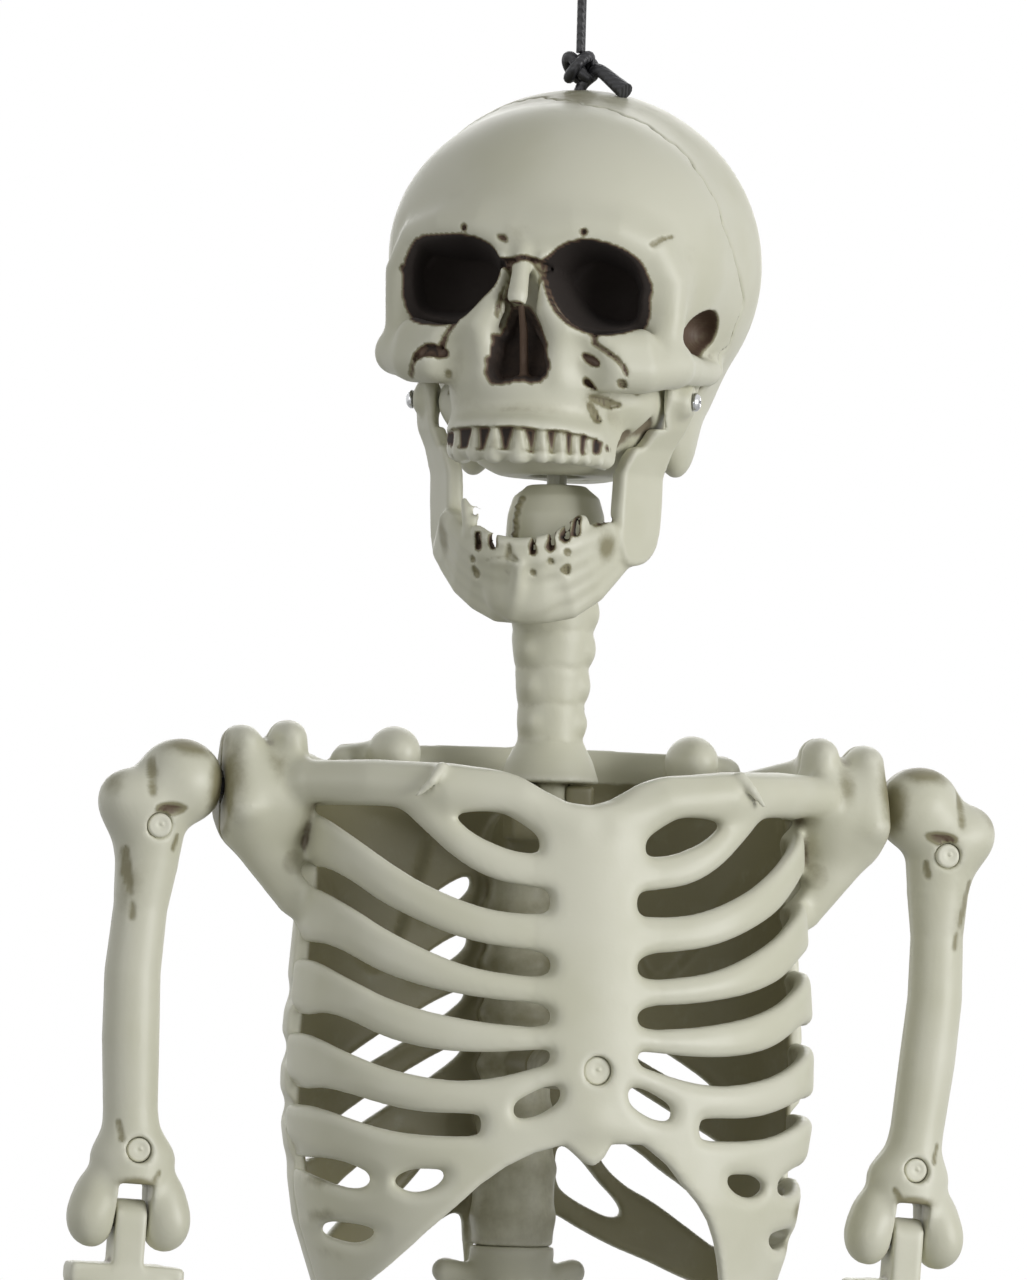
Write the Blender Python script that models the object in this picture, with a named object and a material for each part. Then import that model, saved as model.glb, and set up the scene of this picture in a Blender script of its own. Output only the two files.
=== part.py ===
"""Hanging skeleton figure, about 0.9 m from crown to sole, moulded in ivory plastic.

Frame: +Z up, metres, the figure upright and facing -Y, its own left side at +X.
The origin is the inside top of the cord loop that the figure hangs from. The figure
is built round its neck axis and then shifted to bring the cord onto the Z axis.
Heights are given as drops below the crown.
"""

import math

import bmesh
import bpy
from mathutils import Euler, Matrix, Vector

MM = 0.001
UP = Vector((0, 0, 1))
OUT = Vector((1, 0, 0))
BACK = Vector((0, 1, 0))

# Fits
SEAT_GAP = 0.3 * MM
RUN_GAP = 0.35 * MM
ROUND_SIDES = 10

# Cord that the figure hangs from
CORD_DIAMETER = 2.8 * MM
CORD_RISE = 56 * MM
CORD_BACK = 20 * MM
LOOP_WIDTH = 11 * MM
LOOP_TURN = math.radians(15)
KNOT_HEIGHT = 11 * MM
KNOT_WIDTH = 11 * MM
KNOT_CLEAR = 2 * MM
STOPPER_DIAMETER = 7 * MM
STOPPER_POCKET = 9 * MM
CORD_HOLE = 4 * MM
CORD_TAIL = ((3 * MM, -4 * MM, 1 * MM), (7.5 * MM, -8.5 * MM, -1.5 * MM),
             (11.5 * MM, -11.5 * MM, -6.5 * MM))

# Skull, drawn in shares of its width, length and height, seen from the neck hole
SKULL_WIDTH = 110 * MM
SKULL_LENGTH = 142 * MM
SKULL_HEIGHT = 120 * MM
SKULL_FLOOR = 4.2 * MM
CROWN_WALL = 4 * MM
HEAD_TURN = math.radians(-26.5)
CRANIUM_CENTRE = (0, 0.185, 0.555)
CRANIUM_RADII = (0.505, 0.415, 0.445)
SKULL_BALLS = (
    # centre, radii, on both sides: forehead, back of the head, base, upper jaw, cheek, mastoid
    ((0, -0.03, 0.55), (0.47, 0.335, 0.385), False),
    ((0, 0.21, 0.26), (0.37, 0.29, 0.26), False),
    ((0, 0.01, 0.14), (0.29, 0.22, 0.165), False),
    ((0, -0.245, 0.205), (0.23, 0.15, 0.185), False),
    ((0.325, -0.24, 0.305), (0.1, 0.09, 0.09), True),
    ((0.36, 0.2, 0.16), (0.06, 0.065, 0.115), True),
)
SKULL_RODS = (
    # cheek arch, brow and outer eye rim, lower eye rim, nose bridge: place and thickness
    ((0.375, -0.21, 0.31, 0.052), (0.43, -0.055, 0.295, 0.04), (0.42, 0.11, 0.295, 0.044)),
    ((0.07, -0.36, 0.6, 0.046), (0.23, -0.352, 0.625, 0.046), (0.355, -0.27, 0.55, 0.052),
     (0.375, -0.235, 0.44, 0.048), (0.345, -0.25, 0.335, 0.052)),
    ((0.09, -0.38, 0.38, 0.037), (0.23, -0.352, 0.35, 0.046), (0.325, -0.28, 0.35, 0.052)),
    ((0.01, -0.365, 0.57, 0.046), (0.01, -0.405, 0.465, 0.037)),
)
SKULL_HOLLOWS = (
    # eye socket, nose, nose top, temple
    ((0.205, -0.37, 0.475), (0.138, 0.18, 0.12)),
    ((0.04, -0.405, 0.3), (0.05, 0.09, 0.07)),
    ((0.01, -0.405, 0.365), (0.035, 0.08, 0.075)),
    ((0.42, -0.12, 0.385), (0.075, 0.125, 0.15)),
)
CAVITY_CENTRE = (0, 0.215, 0.55)
CAVITY_RADII = (0.465, 0.35, 0.405)
TOOTH_ARCH_HALF_WIDTH = 0.2
TOOTH_ARCH_BACK = -0.18
TOOTH_ARCH_REACH = 0.215
UPPER_TOOTH_LEVEL = 0.058
TOOTH_ARCH_THICKNESS = 9 * MM

# Jaw and its two screws
JAW_OPEN = math.radians(26)
JAW_HINGE_BACK = -9 * MM
JAW_HINGE_RISE = 22.5 * MM
JAW_INNER_FACE = 38 * MM
RAMUS_THICKNESS = 5.2 * MM
RAMUS_WIDTH = 13 * MM
JAW_BOSS_DIAMETER = 10 * MM
JAW_SCREW_HEAD = 5.6 * MM
JAW_SCREW_SINK = 0.6 * MM
JAW_SCREW_MARGIN = 1.2 * MM
JAW_SCREW_HEAD_HEIGHT = 2 * MM
JAW_SCREW_SHANK = 2.6 * MM
JAW_SCREW_LENGTH = 15 * MM
JAW_BODY = ((0.3, -0.12, -0.142), (0.27, -0.19, -0.157), (0.17, -0.31, -0.142), (0, -0.36, -0.142))
JAW_BODY_HALF_HEIGHT = 0.09
CHIN_CENTRE = (0, -0.365, -0.18)
CHIN_RADII = (0.09, 0.04, 0.071)
JAW_BODY_THICKNESS = 10 * MM
LOWER_TOOTH_LEVEL = -0.023
LOWER_TOOTH_THICKNESS = 7 * MM

# Neck and the swivel peg that joins it to the skull
NECK_TOP_GAP = 2.5 * MM
NECK_LENGTH = 89.5 * MM
NECK_FOOT_WIDTH = 30 * MM
# share of the length from the top, width there
NECK_WIDTHS = ((0, 27 * MM), (0.025, 30 * MM), (0.21, 30 * MM), (0.25, 27 * MM), (0.33, 28.4 * MM),
               (0.45, 26.4 * MM), (0.52, 27 * MM), (0.64, 21.4 * MM), (0.7, 22.4 * MM), (0.82, 19.4 * MM),
               (0.91, 20 * MM), (0.965, 28 * MM))
NECK_SPIGOT_DIAMETER = 12 * MM
NECK_SPIGOT_LENGTH = 11 * MM
PEG_DIAMETER = 6 * MM
PEG_HEAD_DIAMETER = 12 * MM
PEG_HEAD_HEIGHT = 3 * MM
PEG_DEPTH = 12 * MM

# Ribcage: two shells that meet in a plane across the figure
CHEST_BACK = -6 * MM
CHEST_HALF_WIDTH = 79 * MM
CHEST_FRONT_DEPTH = 55 * MM
CHEST_REAR_DEPTH = 50 * MM
CHEST_TOP = 210 * MM
CHEST_HEIGHT = 157 * MM
CHEST_SQUARENESS = 2.4
RIB_WALL = 4 * MM
CHEST_GIRTH = ((0, 0.94), (0.2, 0.955), (0.5, 1), (0.65, 1), (0.85, 0.94), (1, 0.84))
CHEST_SWELL = ((0, 0.8), (0.3, 0.92), (0.6, 1), (0.8, 1), (1, 0.94))
# front gaps between ribs: inner and outer end (shares of the half width), drop at each
# end, sag between them (shares of the height), half height inside, middle and outside
FRONT_GAPS = (
    (0.2, 0.52, 0.14, 0.083, -0.022, (0.012, 0.03, 0.008)),
    (0.165, 0.92, 0.242, 0.075, -0.038, (0.02, 0.05, 0.014)),
    (0.165, 0.93, 0.361, 0.2, 0, (0.02, 0.024, 0.02)),
    (0.165, 0.93, 0.456, 0.346, 0, (0.02, 0.022, 0.02)),
    (0.165, 0.93, 0.53, 0.485, 0.03, (0.011, 0.028, 0.024)),
    (0.42, 0.93, 0.658, 0.619, 0.01, (0.016, 0.022, 0.018)),
    (0.12, 0.32, 0.597, 0.634, 0, (0.012, 0.022, 0.01)),
    (0.79, 0.93, 0.768, 0.752, 0.004, (0.012, 0.02, 0.01)),
    (0.53, 0.72, 0.762, 0.77, 0.006, (0.01, 0.021, 0.01)),
    (0.75, 0.9, 0.87, 0.862, 0.004, (0.01, 0.018, 0.01)),
)
REAR_GAPS = (
    (0.19, 0.37, 0.205, 0.26, 0, (0.016, 0.023, 0.016)),
    (0.19, 0.4, 0.315, 0.38, 0, (0.016, 0.023, 0.016)),
    (0.19, 0.78, 0.42, 0.6, 0, (0.016, 0.023, 0.016)),
    (0.19, 0.88, 0.525, 0.74, 0, (0.016, 0.023, 0.016)),
    (0.19, 0.88, 0.63, 0.845, 0, (0.016, 0.023, 0.016)),
    (0.19, 0.84, 0.735, 0.925, 0, (0.016, 0.023, 0.016)),
)
# edge of the arch under the breastbone, from the middle outwards: share of the half width,
# drop below the breastbone's screw
RIB_ARCH = ((0, 28.4 * MM), (0.1, 23.7 * MM), (0.25, 26.8 * MM), (0.38, 33.9 * MM), (0.47, 41.7 * MM),
            (0.56, 52.7 * MM), (0.64, 65.3 * MM), (0.66, 85.7 * MM))
# middles of the lumps that make a shoulder blade: shares of the half width and height
BLADE_PLACES = ((0.38, 0.06), (0.58, 0.12), (0.46, 0.29), (0.73, 0.07), (0.9, 0.06))
BLADE_RADII = (15 * MM, 5 * MM, 15 * MM)
BLADE_SINK = 2 * MM
# spine of the shoulder blade: shares of the half width and height, radius
BLADE_RIDGE = ((0.38, 0.06, 3.5 * MM), (0.72, 0.02, 4.5 * MM))
BLADE_TIP = (18 * MM, 10 * MM, 8 * MM, 7 * MM)
BLADE_KNOB = (0.62, -16 * MM, 6 * MM)
BLADE_KNOB_RADII = (8.5 * MM, 14 * MM, 8 * MM)
SPINE_BACK = 29 * MM
SPINE_DIAMETER = 22 * MM
NECK_SEAT_DIAMETER = 27 * MM
NECK_SEAT_DEPTH = 17 * MM
NECK_SEAT_MARGIN = 1 * MM
LUMBAR_NOTCH_MARGIN = 3 * MM

# Shoulders: blocks shared by both shells, a pin clamped in each
SHOULDER_DROP = 216 * MM
SHOULDER_FACE = 102.5 * MM
SHOULDER_PIN_SHANK = 5 * MM
SHOULDER_PIN_FLANGE = 10 * MM
SHOULDER_PIN_FLANGE_THICKNESS = 2.2 * MM
SHOULDER_PIN_HALF_LENGTH = 11 * MM
SHOULDER_PLAY = 1.5 * MM
SHOULDER_FACE_GAP = 0.8 * MM
CLAVICLE_DIAMETER = 15 * MM
CLAVICLE_RISE = 3 * MM
# lumps of a shoulder block: inset from its face, rise above its pin, radii
SHOULDER_LUMPS = (
    (14 * MM, 3 * MM, (16 * MM, 15 * MM, 17.5 * MM)),
    (8 * MM, 12 * MM, (9 * MM, 11 * MM, 7 * MM)),
    (22 * MM, 11.5 * MM, (7 * MM, 10 * MM, 7.5 * MM)),
)
# its taper down to the ribs: inset, drop below the pin, radius
SHOULDER_TAPER = ((12 * MM, 12 * MM, 11 * MM), (24.5 * MM, 32 * MM, 6 * MM))
# collar bone: place across, back from the breastbone's front, drop, share of its diameter
CLAVICLE_PATH = ((9 * MM, 1 * MM, 4 * MM, 0.4), (42 * MM, 7 * MM, 0, 0.5))
CLAVICLE_END = 22 * MM
CLAVICLE_FRONT = 14 * MM

# Breastbone screw under its plug
STERNUM_SCREW_DROP = 297 * MM
STERNUM_BOSS_DIAMETER = 13 * MM
STERNUM_SCREW_SEAT = 9 * MM
STERNUM_PLUG_PROUD = 3 * MM
STERNUM_RADII = (12 * MM, 4 * MM, 8 * MM)
STERNUM_BELOW_SCREW = 16.6 * MM

# Plugs and screws that close the shells
PLUG_DIAMETER = 7.2 * MM
PLUG_THICKNESS = 2 * MM
SCREW_HEAD_DIAMETER = 5.2 * MM
SCREW_HEAD_HEIGHT = 1.7 * MM
SCREW_SHANK_DIAMETER = 2.4 * MM
STERNUM_PLUG_DIAMETER = 8.4 * MM
STERNUM_SCREW_LENGTH = 24 * MM

# Lumbar spine and pelvis
LUMBAR_TOP = 352 * MM
LUMBAR_LENGTH = 76 * MM
LUMBAR_DIAMETER = 25 * MM
LUMBAR_WINGSPAN = 48 * MM
LUMBAR_SPIGOT_DIAMETER = 10 * MM
LUMBAR_SPIGOT_LENGTH = 11 * MM
LUMBAR_VERTEBRAE = 4
LUMBAR_WING = 8 * MM
# outline of one vertebra: share of its height, share of the diameter
LUMBAR_DRUM = ((0, 0.42), (0.15, 0.5), (0.52, 0.43), (0.89, 0.5), (1.04, 0.42))
PELVIS_HALF_WIDTH = 55 * MM
PELVIS_DEPTH = 60 * MM
PELVIS_HEIGHT = 94 * MM
# hip bones: shares of the half width, depth and height from the hip axis, then radii
PELVIS_SACRUM = ((0, 0.36, 0.36, 13 * MM), (0, 0.42, 0.14, 8 * MM))
PELVIS_CREST = ((0.3, 0.32, 0.46), (0.62, 0.16, 0.42), (0.86, -0.1, 0.34))
PELVIS_CREST_RADII = (8 * MM, 6 * MM, 17 * MM)
PELVIS_WING = ((0.36, 0.26, 0.3), (0.72, 0.02, 0.2))
PELVIS_WING_RADII = (9 * MM, 7 * MM, 14 * MM)
PELVIS_RIM = ((0.15, 0.32, 0.24, 9 * MM), (0.62, 0.08, 0.14, 9 * MM))
PELVIS_PUBIS = ((0.26, -0.36, -0.14, 6.5 * MM), (0, -0.4, -0.17, 6.5 * MM))
PELVIS_SEAT = ((0.46, 0.06, -0.33, 7 * MM), (0.24, -0.2, -0.34, 5 * MM), (0.1, -0.38, -0.2, 5.5 * MM))
HIP_BLOCK_RADII = (13 * MM, 13 * MM, 14 * MM)
HIP_BLOCK_INSET = 11 * MM
HIP_FACE_TOP = 16 * MM

# Arms, in a frame at the shoulder: out from the body, back, down the arm
ARM_LEAN_LEFT = math.radians(3)
ARM_LEAN_RIGHT = math.radians(3)
BONE_WALL = 2.4 * MM
PLUG_CLEAR = 9 * MM
TONGUE_CLEARANCE = 0.6 * MM
UPPER_ARM_LENGTH = 130 * MM
UPPER_ARM_OFFSET = 21 * MM
UPPER_ARM_SHAFT = 16.6 * MM
HUMERUS_HEAD_DIAMETER = 26 * MM
HUMERUS_LUMP_OUT = 6 * MM
HUMERUS_LUMP_DROP = 3 * MM
HUMERUS_LUMP_RADII = (9 * MM, 10 * MM, 10 * MM)
# shares of the way out to the elbow and down to it, radius
HUMERUS_SHAFT = ((0, 0.062, 12 * MM), (0, 0.23, 9.5 * MM), (0.3, 0.45, 8.3 * MM), (1, 0.754, 8.3 * MM),
                 (1, 0.892, 9.8 * MM))
HUMERUS_CORE_TOP = 30 * MM
ARM_PLUG_OUT = 19.5 * MM
ARM_PLUG_TOP = 13.5 * MM
ARM_PLUG_TOP_DEPTH = 11.2 * MM
ARM_PLUG_BOTTOM = 21 * MM
ARM_PLUG_BOTTOM_DEPTH = 8.4 * MM
ELBOW_OFFSET = 17.5 * MM
ELBOW_WIDTH = 35 * MM
ELBOW_KNUCKLE = (7 * MM, 9 * MM, 11.5 * MM)
ELBOW_KNUCKLE_RISE = 3 * MM
ELBOW_SLOT = 10.4 * MM
ELBOW_SLOT_RISE = 11 * MM
ELBOW_PIN_DIAMETER = 4 * MM
ELBOW_TONGUE_RADIUS = 6.5 * MM
FOREARM_LENGTH = 115 * MM
FOREARM_PLATE_GAP = 13 * MM
FOREARM_PLATE_RADII = (17.5 * MM, 8 * MM, 6.5 * MM)
# place across, share of the length, radius
FOREARM_BONE = ((9 * MM, 0.17, 6.7 * MM), (8.5 * MM, 0.5, 4.8 * MM), (6 * MM, 0.895, 5.2 * MM))
WRIST_WIDTH = 22 * MM
WRIST_RADII = (11 * MM, 7 * MM, 10 * MM)
WRIST_RISE = 2 * MM
WRIST_SLOT = 6.8 * MM
WRIST_SLOT_RISE = 7.5 * MM
WRIST_PIN_DIAMETER = 3.2 * MM
WRIST_TONGUE_RADIUS = 5 * MM
HAND_LENGTH = 88 * MM
HAND_WIDTH = 32 * MM
PALM_DROP = 18 * MM
PALM_RADII = (11 * MM, 5.5 * MM, 7 * MM)
FINGER_DIAMETER = 5.4 * MM
FINGER_CURL = 2 * MM
FINGER_TIPS = (0.84, 0.97, 1, 0.93)
KNUCKLE_SHARE = 0.52
# share of the way along, radius as a share of the finger's diameter
PALM_BONE = ((0, 0.67), (0.5, 0.54), (1, 0.72))
FINGER_BONE = ((0, 0.72), (0.24, 0.52), (0.46, 0.61), (0.62, 0.48), (0.76, 0.56), (1, 0.46))
# towards the body, forward, down, radius
THUMB_BONE = ((8 * MM, 0, 20 * MM, 4 * MM), (15 * MM, 5 * MM, 34 * MM, 3.6 * MM),
              (17.5 * MM, 8 * MM, 46 * MM, 3.1 * MM), (18 * MM, 9 * MM, 56 * MM, 2.6 * MM))

# Legs, in a frame at the hip
HIP_DROP = 484 * MM
HIP_FACE = 48 * MM
HIP_BACK = 6 * MM
HIP_PIN_DEPTH = 14 * MM
THIGH_LENGTH = 196 * MM
THIGH_OFFSET = 13.5 * MM
THIGH_SHAFT = 16.4 * MM
FEMUR_HEAD_DIAMETER = 21 * MM
FEMUR_LUMP_OUT = 6.5 * MM
FEMUR_LUMP_RISE = 2 * MM
FEMUR_LUMP_RADII = (8 * MM, 9 * MM, 9 * MM)
FEMUR_SHAFT = ((0, 0.036, 11 * MM), (0, 0.153, 9.2 * MM), (0.3, 0.5, 8.2 * MM), (1, 0.8, 8.6 * MM),
               (1, 0.93, 10.7 * MM))
FEMUR_CORE_TOP = 32 * MM
LEG_PLUG_TOP = 15 * MM
LEG_PLUG_TOP_DEPTH = 10.3 * MM
LEG_PLUG_BOTTOM = 26 * MM
LEG_PLUG_BOTTOM_DEPTH = 9.2 * MM
KNEE_OFFSET = 11 * MM
KNEE_WIDTH = 36 * MM
KNEE_KNUCKLE = (8 * MM, 10.5 * MM, 12 * MM)
KNEE_KNUCKLE_RISE = 2 * MM
KNEE_SLOT = 12 * MM
KNEE_SLOT_RISE = 12 * MM
KNEE_PIN_DIAMETER = 4.4 * MM
KNEE_TONGUE_RADIUS = 7 * MM
SHIN_LENGTH = 178 * MM
SHIN_PLATE_GAP = 14 * MM
SHIN_PLATE_RADII = (18 * MM, 9.5 * MM, 7 * MM)
# out, back, share of the length, radius
TIBIA = ((-4 * MM, 0, 0.118, 8 * MM), (-3.5 * MM, 0, 0.4, 6.6 * MM), (-3 * MM, 0, 0.92, 6.4 * MM))
FIBULA = ((12 * MM, 2 * MM, 0.135, 4.6 * MM), (12 * MM, 2 * MM, 0.5, 3.6 * MM), (8 * MM, 0, 0.93, 4.4 * MM))
ANKLE_WIDTH = 24 * MM
ANKLE_RADII = (12 * MM, 8 * MM, 11 * MM)
ANKLE_RISE = 3 * MM
ANKLE_SLOT = 8 * MM
ANKLE_SLOT_RISE = 8.5 * MM
ANKLE_PIN_DIAMETER = 3.6 * MM
ANKLE_TONGUE_RADIUS = 5.5 * MM
FOOT_LENGTH = 96 * MM
FOOT_WIDTH = 36 * MM
FOOT_HEIGHT = 34 * MM
FOOT_TONGUE = 18 * MM
# heel and instep: share of the length behind the ankle, rise above the sole, radii
FOOT_LUMPS = ((0.12, 10 * MM, (9 * MM, 13 * MM, 9.5 * MM)), (-0.05, 15 * MM, (11 * MM, 15 * MM, 8 * MM)))
TOE_DIAMETER = 7.2 * MM
TOE_REACH = 0.76
TOE_STEP = 0.05

CROWN = -CORD_RISE


def clear_scene():
    """Leaves the file empty, so that a second run gives the same figure."""
    for old in list(bpy.data.objects):
        bpy.data.objects.remove(old)


def plastic(name, colour, roughness, metallic=0.0):
    """A plain surface: linear colour, roughness and metallic value."""
    material = bpy.data.materials.new(name)
    material.use_nodes = True
    shader = material.node_tree.nodes["Principled BSDF"]
    shader.inputs["Base Color"].default_value = (*colour, 1)
    shader.inputs["Roughness"].default_value = roughness
    shader.inputs["Metallic"].default_value = metallic
    return material


def below_crown(x, y, drop):
    """A point of the figure, from its drop below the crown."""
    return Vector((x, y, CROWN - drop))


def ball(gather, centre, radii):
    """Adds an ellipsoid."""
    place = Matrix.LocRotScale(Vector(centre), None, Vector(radii))
    bmesh.ops.create_icosphere(gather, subdivisions=3, radius=1, matrix=place)


def rod(gather, points):
    """Adds a chain of round-ended cones through (place, radius) pairs."""
    for (start, start_radius), (end, end_radius) in zip(points, points[1:]):
        along = Vector(end) - Vector(start)
        turn = UP.rotation_difference(along)
        place = Matrix.LocRotScale((Vector(start) + Vector(end)) / 2, turn, None)
        bmesh.ops.create_cone(gather, cap_ends=True, segments=16, radius1=start_radius,
                              radius2=end_radius, depth=along.length, matrix=place)
    for place, radius in points:
        ball(gather, place, (radius, radius, radius))


def beads(gather, places, radii, steps=4):
    """Adds ellipsoids packed along a line, which fuse into a flattened bar."""
    for start, end in zip(places, places[1:]):
        for step in range(steps + 1):
            ball(gather, Vector(start).lerp(Vector(end), step / steps), radii)


def lofted(gather, rings):
    """Skins closed rings of points, with a face over each end."""
    rows = [[gather.verts.new(point) for point in ring] for ring in rings]
    faces = [gather.faces.new(rows[0]), gather.faces.new(rows[-1])]
    for upper, lower in zip(rows, rows[1:]):
        count = len(upper)
        for here in range(count):
            after = (here + 1) % count
            faces.append(gather.faces.new((upper[here], upper[after], lower[after], lower[here])))
    bmesh.ops.recalc_face_normals(gather, faces=faces)


def turned(gather, start, axis, profile, sides=ROUND_SIDES):
    """Adds a round piece: radii at distances along an axis from its start."""
    axis = Vector(axis).normalized()
    turn = UP.rotation_difference(axis)
    rings = []
    for distance, radius in profile:
        middle = Vector(start) + axis * distance
        angles = [2 * math.pi * side / sides for side in range(sides)]
        rings.append([middle + turn @ Vector((radius * math.cos(a), radius * math.sin(a), 0))
                      for a in angles])
    lofted(gather, rings)


def box(gather, low, high):
    """Adds a block between two corners."""
    low, high = Vector(low), Vector(high)
    place = Matrix.LocRotScale((low + high) / 2, None, high - low)
    bmesh.ops.create_cube(gather, size=1, matrix=place)


def prism(gather, outline, start, end):
    """Adds an outline of (x, z) points carried from one y to another."""
    rings = [[Vector((x, y, z)) for x, z in outline] for y in (start, end)]
    lofted(gather, rings)


def placed(name, gather, material=None, parent=None):
    """Turns gathered geometry into an object."""
    mesh = bpy.data.meshes.new(name)
    gather.to_mesh(mesh)
    gather.free()
    body = bpy.data.objects.new(name, mesh)
    bpy.context.scene.collection.objects.link(body)
    body.parent = parent
    if material:
        mesh.materials.append(material)
        mesh.shade_smooth()
        mesh.set_sharp_from_angle(angle=math.radians(35))
    return body


def cutter(name, gather, parent=None):
    """A guide body for a Boolean, left out of the figure."""
    body = placed(name + "_cutter", gather, None, parent)
    body.hide_render = True
    body.display_type = "WIRE"
    return body


def combine(body, operation, other, crossing=False):
    """Joins another body to this one or cuts it away; crossing where either crosses itself."""
    step = body.modifiers.new(other.name, "BOOLEAN")
    step.operation = operation
    step.solver = "EXACT"
    step.use_self = crossing
    step.object = other


def triangles(body):
    """How many triangles a body has after its modifiers."""
    bpy.context.view_layer.update()
    shaped = body.evaluated_get(bpy.context.evaluated_depsgraph_get())
    mesh = shaped.to_mesh()
    count = sum(len(face.vertices) - 2 for face in mesh.polygons)
    shaped.to_mesh_clear()
    return count


def fuse(body, voxel, wanted, hollows=None, softening=5):
    """Draws one smooth skin over overlapping forms and thins it to a face count."""
    skin = body.modifiers.new("skin", "REMESH")
    skin.mode = "VOXEL"
    skin.voxel_size = voxel
    if hollows:
        combine(body, "DIFFERENCE", hollows)
        again = body.modifiers.new("skin_again", "REMESH")
        again.mode = "VOXEL"
        again.voxel_size = voxel
    soft = body.modifiers.new("soften", "SMOOTH")
    soft.factor = 0.5
    soft.iterations = softening
    thin = body.modifiers.new("thin", "DECIMATE")
    thin.ratio = 1.0
    thin.ratio = wanted / triangles(body)


def frame_at(name, place, turn=(0, 0, 0), parent=None):
    """An empty on a joint, which carries the pieces that move there."""
    empty = bpy.data.objects.new(name, None)
    bpy.context.scene.collection.objects.link(empty)
    empty.location = place
    empty.rotation_euler = Euler(turn)
    empty.parent = parent
    return empty


def both(point, mirrored=True):
    """A point and, where wanted, its mirror image across the figure."""
    yield Vector(point)
    if mirrored:
        yield Vector((-point[0], *point[1:3]))


def skull_place(share):
    """A point of the head from shares of the skull's width, length and height."""
    return Vector((share[0] * SKULL_WIDTH, share[1] * SKULL_LENGTH, share[2] * SKULL_HEIGHT))


def tooth_arch(level, thickness):
    """A horseshoe of teeth as (place, radius) pairs."""
    points = []
    for step in range(-4, 5):
        angle = math.radians(20 * step)
        share = (TOOTH_ARCH_HALF_WIDTH * math.sin(angle),
                 TOOTH_ARCH_BACK - TOOTH_ARCH_REACH * math.cos(angle), level)
        points.append((skull_place(share), thickness / 2))
    return points


def crown_at_cord():
    """Height of the skull's outside above its base, where the cord goes in."""
    away = (CORD_BACK / SKULL_LENGTH - CRANIUM_CENTRE[1]) / CRANIUM_RADII[1]
    return (CRANIUM_CENTRE[2] + CRANIUM_RADII[2] * math.sqrt(1 - away ** 2)) * SKULL_HEIGHT


def add_skull(bone, head):
    """The hollow cranium with its face, open at the neck hole and at the cord hole."""
    gather = bmesh.new()
    ball(gather, skull_place(CRANIUM_CENTRE), skull_place(CRANIUM_RADII))
    for centre, radii, mirrored in SKULL_BALLS:
        for point in both(centre, mirrored):
            ball(gather, skull_place(point), skull_place(radii))
    for points in SKULL_RODS:
        for side in (1, -1):
            rod(gather, [(skull_place((side * x, y, z)), thick * SKULL_WIDTH)
                         for x, y, z, thick in points])
    rod(gather, tooth_arch(UPPER_TOOTH_LEVEL, TOOTH_ARCH_THICKNESS))
    skull = placed("skull", gather, bone, head)

    gather = bmesh.new()
    for centre, radii in SKULL_HOLLOWS:
        for point in both(centre):
            ball(gather, skull_place(point), skull_place(radii))
    hollows = cutter("skull_hollows", gather, head)
    pits = hollows.modifiers.new("skin", "REMESH")
    pits.mode = "VOXEL"
    pits.voxel_size = 2 * MM
    fuse(skull, 1.6 * MM, 1250, hollows)

    gather = bmesh.new()
    for side in (1, -1):
        turned(gather, (side * JAW_BOSS_DIAMETER, JAW_HINGE_BACK, JAW_HINGE_RISE), OUT * side,
               ((0, JAW_BOSS_DIAMETER / 2),
                (JAW_INNER_FACE - RUN_GAP - JAW_BOSS_DIAMETER, JAW_BOSS_DIAMETER / 2)))
    combine(skull, "UNION", cutter("jaw_bosses", gather, head))

    gather = bmesh.new()
    place = Matrix.LocRotScale(skull_place(CAVITY_CENTRE), None, skull_place(CAVITY_RADII))
    bmesh.ops.create_icosphere(gather, subdivisions=2, radius=1, matrix=place)
    combine(skull, "DIFFERENCE", cutter("skull_cavity", gather, head))

    gather = bmesh.new()
    box(gather, (-SKULL_WIDTH, -SKULL_LENGTH, -SKULL_HEIGHT), (SKULL_WIDTH, SKULL_LENGTH, 0))
    combine(skull, "DIFFERENCE", cutter("skull_base", gather, head))

    gather = bmesh.new()
    hole = PEG_DIAMETER / 2 + RUN_GAP
    well = PEG_HEAD_DIAMETER / 2 + 2 * MM
    turned(gather, (0, 0, -SKULL_FLOOR), UP,
           ((0, hole), (2 * SKULL_FLOOR, hole), (2 * SKULL_FLOOR, well), (SKULL_HEIGHT / 2, well)))
    combine(skull, "DIFFERENCE", cutter("neck_hole", gather, head))

    gather = bmesh.new()
    pocket = skull_place(CAVITY_CENTRE).z
    seat = crown_at_cord() - CROWN_WALL - pocket
    turned(gather, (0, CORD_BACK, pocket), UP,
           ((0, STOPPER_POCKET / 2), (seat, STOPPER_POCKET / 2), (seat, CORD_HOLE / 2),
            (SKULL_HEIGHT, CORD_HOLE / 2)))
    for side in (1, -1):
        turned(gather, (side * (JAW_INNER_FACE + JAW_SCREW_LENGTH), JAW_HINGE_BACK, JAW_HINGE_RISE),
               OUT * -side, ((0, JAW_SCREW_SHANK / 2 + SEAT_GAP),
                             (2 * JAW_SCREW_LENGTH - 2 * MM, JAW_SCREW_SHANK / 2 + SEAT_GAP)))
    combine(skull, "DIFFERENCE", cutter("skull_bores", gather, head))


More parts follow.
